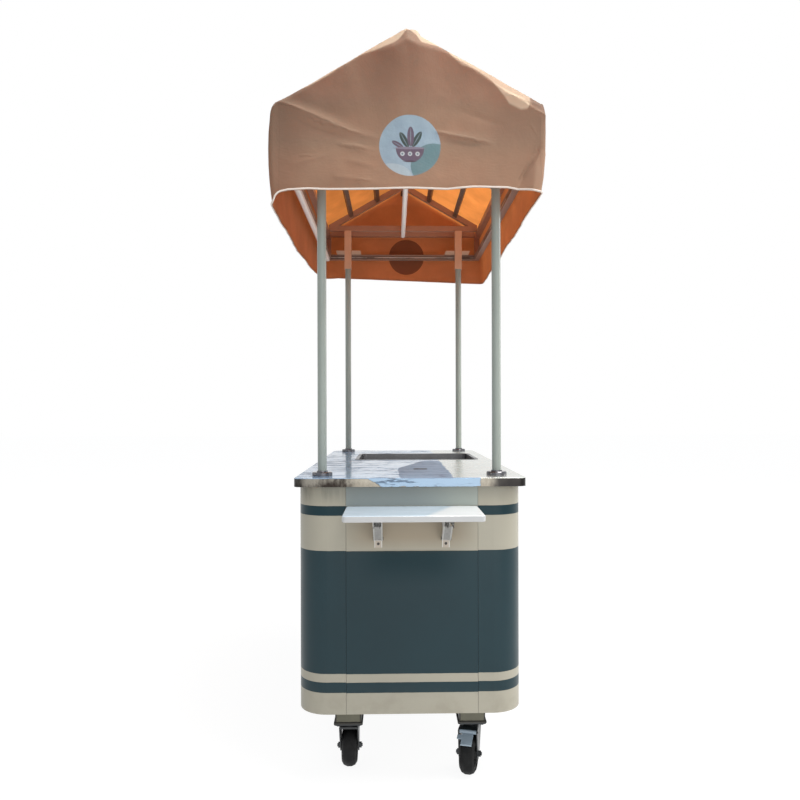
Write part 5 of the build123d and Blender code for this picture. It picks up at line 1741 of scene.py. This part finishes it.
@dataclass
class Shelf:
    """The folding shelf with its brackets."""

    def build(self) -> None:
        """Dresses the shelf's nodes."""
        Workshop.dress(("shelf_board",), Laminate("shelf_laminate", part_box("shelf_board")[1][2]).make())
        Workshop.dress(("left_strut", "right_strut", "shelf_wall_plates"), ChannelZinc("bracket_zinc").make())
        # The arms' middle is darker still, as painted shade under the shelf
        Workshop.dress(("shelf_arms",), ChannelZinc("arm_zinc", shaded_web=srgb(92, 92, 90)).make())
        Workshop.dress(("shelf_pins",), BareMetal("pin_steel", srgb(110, 108, 104), 0.35).make())


@dataclass
class Casters:
    """The swivel casters with rubber tyres and two brake pedals."""

    corners: tuple[str, ...] = ("front_left", "front_right", "rear_left", "rear_right")

    def build(self) -> None:
        """Dresses the casters' nodes."""
        black = PaintedSteel("fork_black", srgb(38, 43, 46), 0.8, 0.36, 0.1, 0.00005, 0.25).make()
        rubber = Moulded("tyre_rubber", srgb(15, 16, 17), srgb(34, 33, 32), 0.66, 600.0, 0.00015, 0.4,
                         specular=0.25).make()
        core = Moulded("wheel_core", srgb(40, 41, 42), srgb(66, 64, 61), 0.5, 700.0, 0.00008, 0.35).make()
        zinc = BareMetal("caster_zinc", srgb(66, 68, 70), 0.34, (1.0, 1.0, 0.2), 0.00001, 0.4).make()
        pedal = PaintedSteel("pedal_grey", srgb(156, 173, 187), 0.88, 0.4, 0.1).make()
        Workshop.dress([f"{c}_fork" for c in self.corners], black)
        Workshop.dress([f"{c}_tyre" for c in self.corners], rubber)
        Workshop.dress([f"{c}_hub" for c in self.corners], core)
        Workshop.dress([f"{c}_axle" for c in self.corners] + ["caster_bolts", "king_pins"], zinc)
        Workshop.dress(("caster_plates",), black)
        Workshop.dress(("front_left_pedal", "front_right_pedal"), pedal)


@dataclass
class Fasteners:
    """Round-headed screws, modelled once and set copy by copy on the parts that they hold."""

    radius: float = 0.0042
    height: float = 0.0026
    rounding: float = 0.45
    rim: float = 0.12
    recess_wall: float = 0.0003
    recess: float = 0.5
    smooth_angle: float = 35.0
    cup_r: float = 0.0315
    cup_z: float = 0.9375
    cup_turns: Span = (-130.0, 50.0)
    grub: float = 0.6
    posts: Table = ((-0.272, -0.577), (0.272, -0.577), (-0.272, 0.733), (0.272, 0.733))
    plate_low: float = 0.48
    plate_y: float = -0.6638
    plate_z: float = 0.7345
    plates_x: tuple[float, ...] = (-0.0965, 0.1065)
    leaf_x: float = 0.3415
    leaf_z: tuple[float, ...] = (0.389, 0.425, 0.772, 0.808)
    leaf_y: tuple[tuple[str, str, tuple[float, ...]], ...] = (
        (CART, "hinge_screws", (-0.510, 0.666)),
        ("front_door", "front_door_screws", (-0.478,)),
        ("rear_door", "rear_door_screws", (0.634,)),
    )

    def head(self) -> bpy.types.Object:
        """Models one screw head at the origin, pointing up, with a sunk driver recess.

        Returns:
            The head.
        """
        Workshop.clear()
        bpy.ops.mesh.primitive_cylinder_add(vertices=20, radius=self.radius, depth=self.height,
                                            location=(0.0, 0.0, self.height / 2))
        head = bpy.context.object
        Workshop.seat(head)
        bpy.ops.object.mode_set(mode="EDIT")
        Workshop.pick(head, lambda face: face.normal.z > 0.9)
        bpy.ops.mesh.bevel(offset=self.height * self.rounding, segments=3, affect="EDGES")
        Workshop.pick(head, lambda face: face.normal.z > 0.999)
        bpy.ops.mesh.inset(thickness=self.radius * self.rim)
        bpy.ops.mesh.inset(thickness=self.recess_wall)
        bpy.ops.transform.translate(value=(0.0, 0.0, -self.height * self.recess))
        bpy.ops.object.mode_set(mode="OBJECT")
        return head

    def set_all(self, head: bpy.types.Object, places: Sequence[Matrix]) -> bpy.types.Object:
        """Sets copies of a head and joins them.

        Args:
            head: The head to copy.
            places: Where each copy goes.

        Returns:
            The joined copies.
        """
        copies = []
        for place in places:
            Workshop.take(head)
            bpy.ops.object.duplicate()
            copy = bpy.context.object
            copy.matrix_world = place
            copies.append(copy)
        Workshop.clear()
        for copy in copies:
            copy.select_set(True)
        bpy.context.view_layer.objects.active = copies[0]
        bpy.ops.object.join()
        Workshop.seat(copies[0])
        bpy.ops.object.shade_smooth_by_angle(angle=math.radians(self.smooth_angle))
        return copies[0]

    @staticmethod
    def facing(place: Point, turn: float, scale: float = 1.0, height: float = 1.0) -> Matrix:
        """Where a head goes that faces sideways.

        Args:
            place: The point that it sits on.
            turn: The way that it faces, in radians from +X.
            scale: Its size, 1 for full size.
            height: How high it stands for its size, 1 for the modelled height.

        Returns:
            The head's place.
        """
        return (Matrix.Translation(place) @ Matrix.Rotation(turn, 4, "Z") @ Matrix.Rotation(math.pi / 2, 4, "Y")
                @ Matrix.Diagonal((scale, scale, scale * height, 1.0)))

    def build(self) -> None:
        """Sets the screws of the post flanges, the shelf's wall plates and the door hinges."""
        head = self.head()
        steel = BareMetal("screw_steel", srgb(150, 148, 145), 0.24, (1.0, 1.0, 1.0), 0.00001, 0.5).make()
        black = PaintedSteel("screw_black", srgb(62, 56, 52), 0.7, 0.4).make()
        grubs = [self.facing((x + self.cup_r * math.cos(turn), y + self.cup_r * math.sin(turn), self.cup_z), turn,
                             self.grub)
                 for x, y in self.posts for turn in map(math.radians, self.cup_turns)]
        Workshop.finish(self.set_all(head, grubs), "flange_screws", steel, CART, "zinc")
        wall = [self.facing((x, self.plate_y, self.plate_z), -math.pi / 2, height=self.plate_low)
                for x in self.plates_x]
        Workshop.finish(self.set_all(head, wall), "wall_plate_screws", black, CART, "zinc")
        for body, name, places in self.leaf_y:
            leaf = [self.facing((self.leaf_x, y, z), 0.0) for y in places for z in self.leaf_z]
            Workshop.finish(self.set_all(head, leaf), name, steel, body, "zinc")
        bpy.data.objects.remove(head, do_unlink=True)


@dataclass
class Studio:
    """The floor, the light and the camera."""

    focal_px: float = 720.0
    frame_px: float = 800.0
    sensor_mm: float = 36.0
    centre_px: Span = (409.3, 410.5)
    eye: Point = (-0.050, -2.824, 1.134)
    yaw: float = 0.022
    roll: float = -0.0025
    sky: Colour = (0.96, 0.98, 1.0)
    sky_light: float = 0.47
    floor_side: float = 60.0
    floor_grey: float = 0.90
    floor_glow: float = 1.14
    floor_share: float = 0.80
    # Name, watts, side, place, aim and colour
    lamps: tuple[tuple[str, float, float, Point, Point, Colour], ...] = (
        ("top_soft", 230.0, 2.6, (1.5, -1.0, 5.0), (0.0, 0.0, 1.3), (1.0, 0.97, 0.92)),
        ("front_fill", 46.0, 3.5, (1.2, -4.4, 1.6), (0.0, 0.0, 0.9), (1.0, 0.99, 0.97)),
        ("right_soft", 62.0, 2.5, (4.2, 0.4, 2.6), (0.0, 0.1, 1.7), (1.0, 0.97, 0.93)),
    )

    def camera(self) -> None:
        """Sets the camera at the photograph's viewpoint."""
        data = bpy.data.cameras.new("camera")
        data.sensor_width = self.sensor_mm
        data.lens = self.focal_px / self.frame_px * data.sensor_width
        data.shift_x = (self.frame_px / 2 - self.centre_px[0]) / self.frame_px
        data.shift_y = (self.centre_px[1] - self.frame_px / 2) / self.frame_px
        cam = bpy.data.objects.new("camera", data)
        bpy.context.scene.collection.objects.link(cam)
        turn = Matrix.Rotation(-self.yaw, 4, "Z") @ Matrix.Rotation(math.pi / 2, 4, "X")
        cam.matrix_world = Matrix.Translation(self.eye) @ turn @ Matrix.Rotation(self.roll, 4, "Z")
        bpy.context.scene.camera = cam

    def lamp(self, name: str, power: float, size: float, place: Point, aim: Point, colour: Colour) -> None:
        """Adds a soft area lamp.

        Args:
            name: The lamp's name.
            power: Watts.
            size: Side of the square, in metres.
            place: Where it hangs.
            aim: The point that it faces.
            colour: Its colour.
        """
        data = bpy.data.lights.new(name, "AREA")
        data.energy = power
        data.size = size
        data.color = colour
        lamp = bpy.data.objects.new(name, data)
        bpy.context.scene.collection.objects.link(lamp)
        lamp.location = place
        lamp.rotation_euler = (Vector(aim) - Vector(place)).to_track_quat("-Z", "Y").to_euler()

    @staticmethod
    def shown(tree: bpy.types.NodeTree) -> Socket:
        """Marks the rays that see the surroundings: the camera's, and those of gloss and glass.

        Args:
            tree: The node tree to add to.

        Returns:
            1 for such a ray.
        """
        path = tree.nodes.new("ShaderNodeLightPath")
        seen = path.outputs["Is Camera Ray"]
        for kind in ("Is Glossy Ray", "Is Transmission Ray"):
            either = tree.nodes.new("ShaderNodeMath")
            either.operation = "MAXIMUM"
            tree.links.new(seen, either.inputs[0])
            tree.links.new(path.outputs[kind], either.inputs[1])
            seen = either.outputs[0]
        return seen

    def world(self) -> None:
        """Fills the surroundings with even light and shows them white."""
        world = bpy.data.worlds.new("studio")
        bpy.context.scene.world = world
        world.use_nodes = True
        tree = world.node_tree
        tree.nodes.clear()
        output = tree.nodes.new("ShaderNodeOutputWorld")
        mix = tree.nodes.new("ShaderNodeMixShader")
        tree.links.new(self.shown(tree), mix.inputs[0])
        for socket, colour, strength in zip(mix.inputs[1:], (self.sky, (1.0, 1.0, 1.0)), (self.sky_light, 1.0)):
            light = tree.nodes.new("ShaderNodeBackground")
            light.inputs["Color"].default_value = (*colour, 1.0)
            light.inputs["Strength"].default_value = strength
            tree.links.new(light.outputs[0], socket)
        tree.links.new(mix.outputs[0], output.inputs["Surface"])

    def floor(self) -> None:
        """Lays a plain pale floor."""
        Workshop.clear()
        bpy.ops.mesh.primitive_plane_add(size=self.floor_side, location=(0.0, 0.0, 0.0))
        ground = bpy.context.object
        ground.name = "floor"
        g = Graph("floor_white")
        matt = g.tree.nodes.new("ShaderNodeBsdfDiffuse")
        g.set(matt.inputs["Color"], (self.floor_grey,) * 3)
        bright = g.tree.nodes.new("ShaderNodeEmission")
        g.set(bright.inputs["Strength"], self.floor_glow)
        mix = g.tree.nodes.new("ShaderNodeMixShader")
        g.set(mix.inputs[0], g.times(self.shown(g.tree), self.floor_share))
        g.set(mix.inputs[1], matt.outputs[0])
        g.set(mix.inputs[2], bright.outputs[0])
        ground.data.materials.append(g.close(mix.outputs[0]))

    def build(self) -> None:
        """Builds the studio."""
        bpy.context.scene.view_settings.view_transform = "Standard"
        self.camera()
        self.world()
        self.floor()
        for lamp in self.lamps:
            self.lamp(*lamp)
        LOG.info("studio ready")


def main() -> None:
    """Builds the cart's looks in order."""
    for part in (Studio(), Cabinet(), Counter(), Shelf(), Casters(), Fasteners(), Canopy()):
        part.build()


if __name__ == "__main__":
    main()
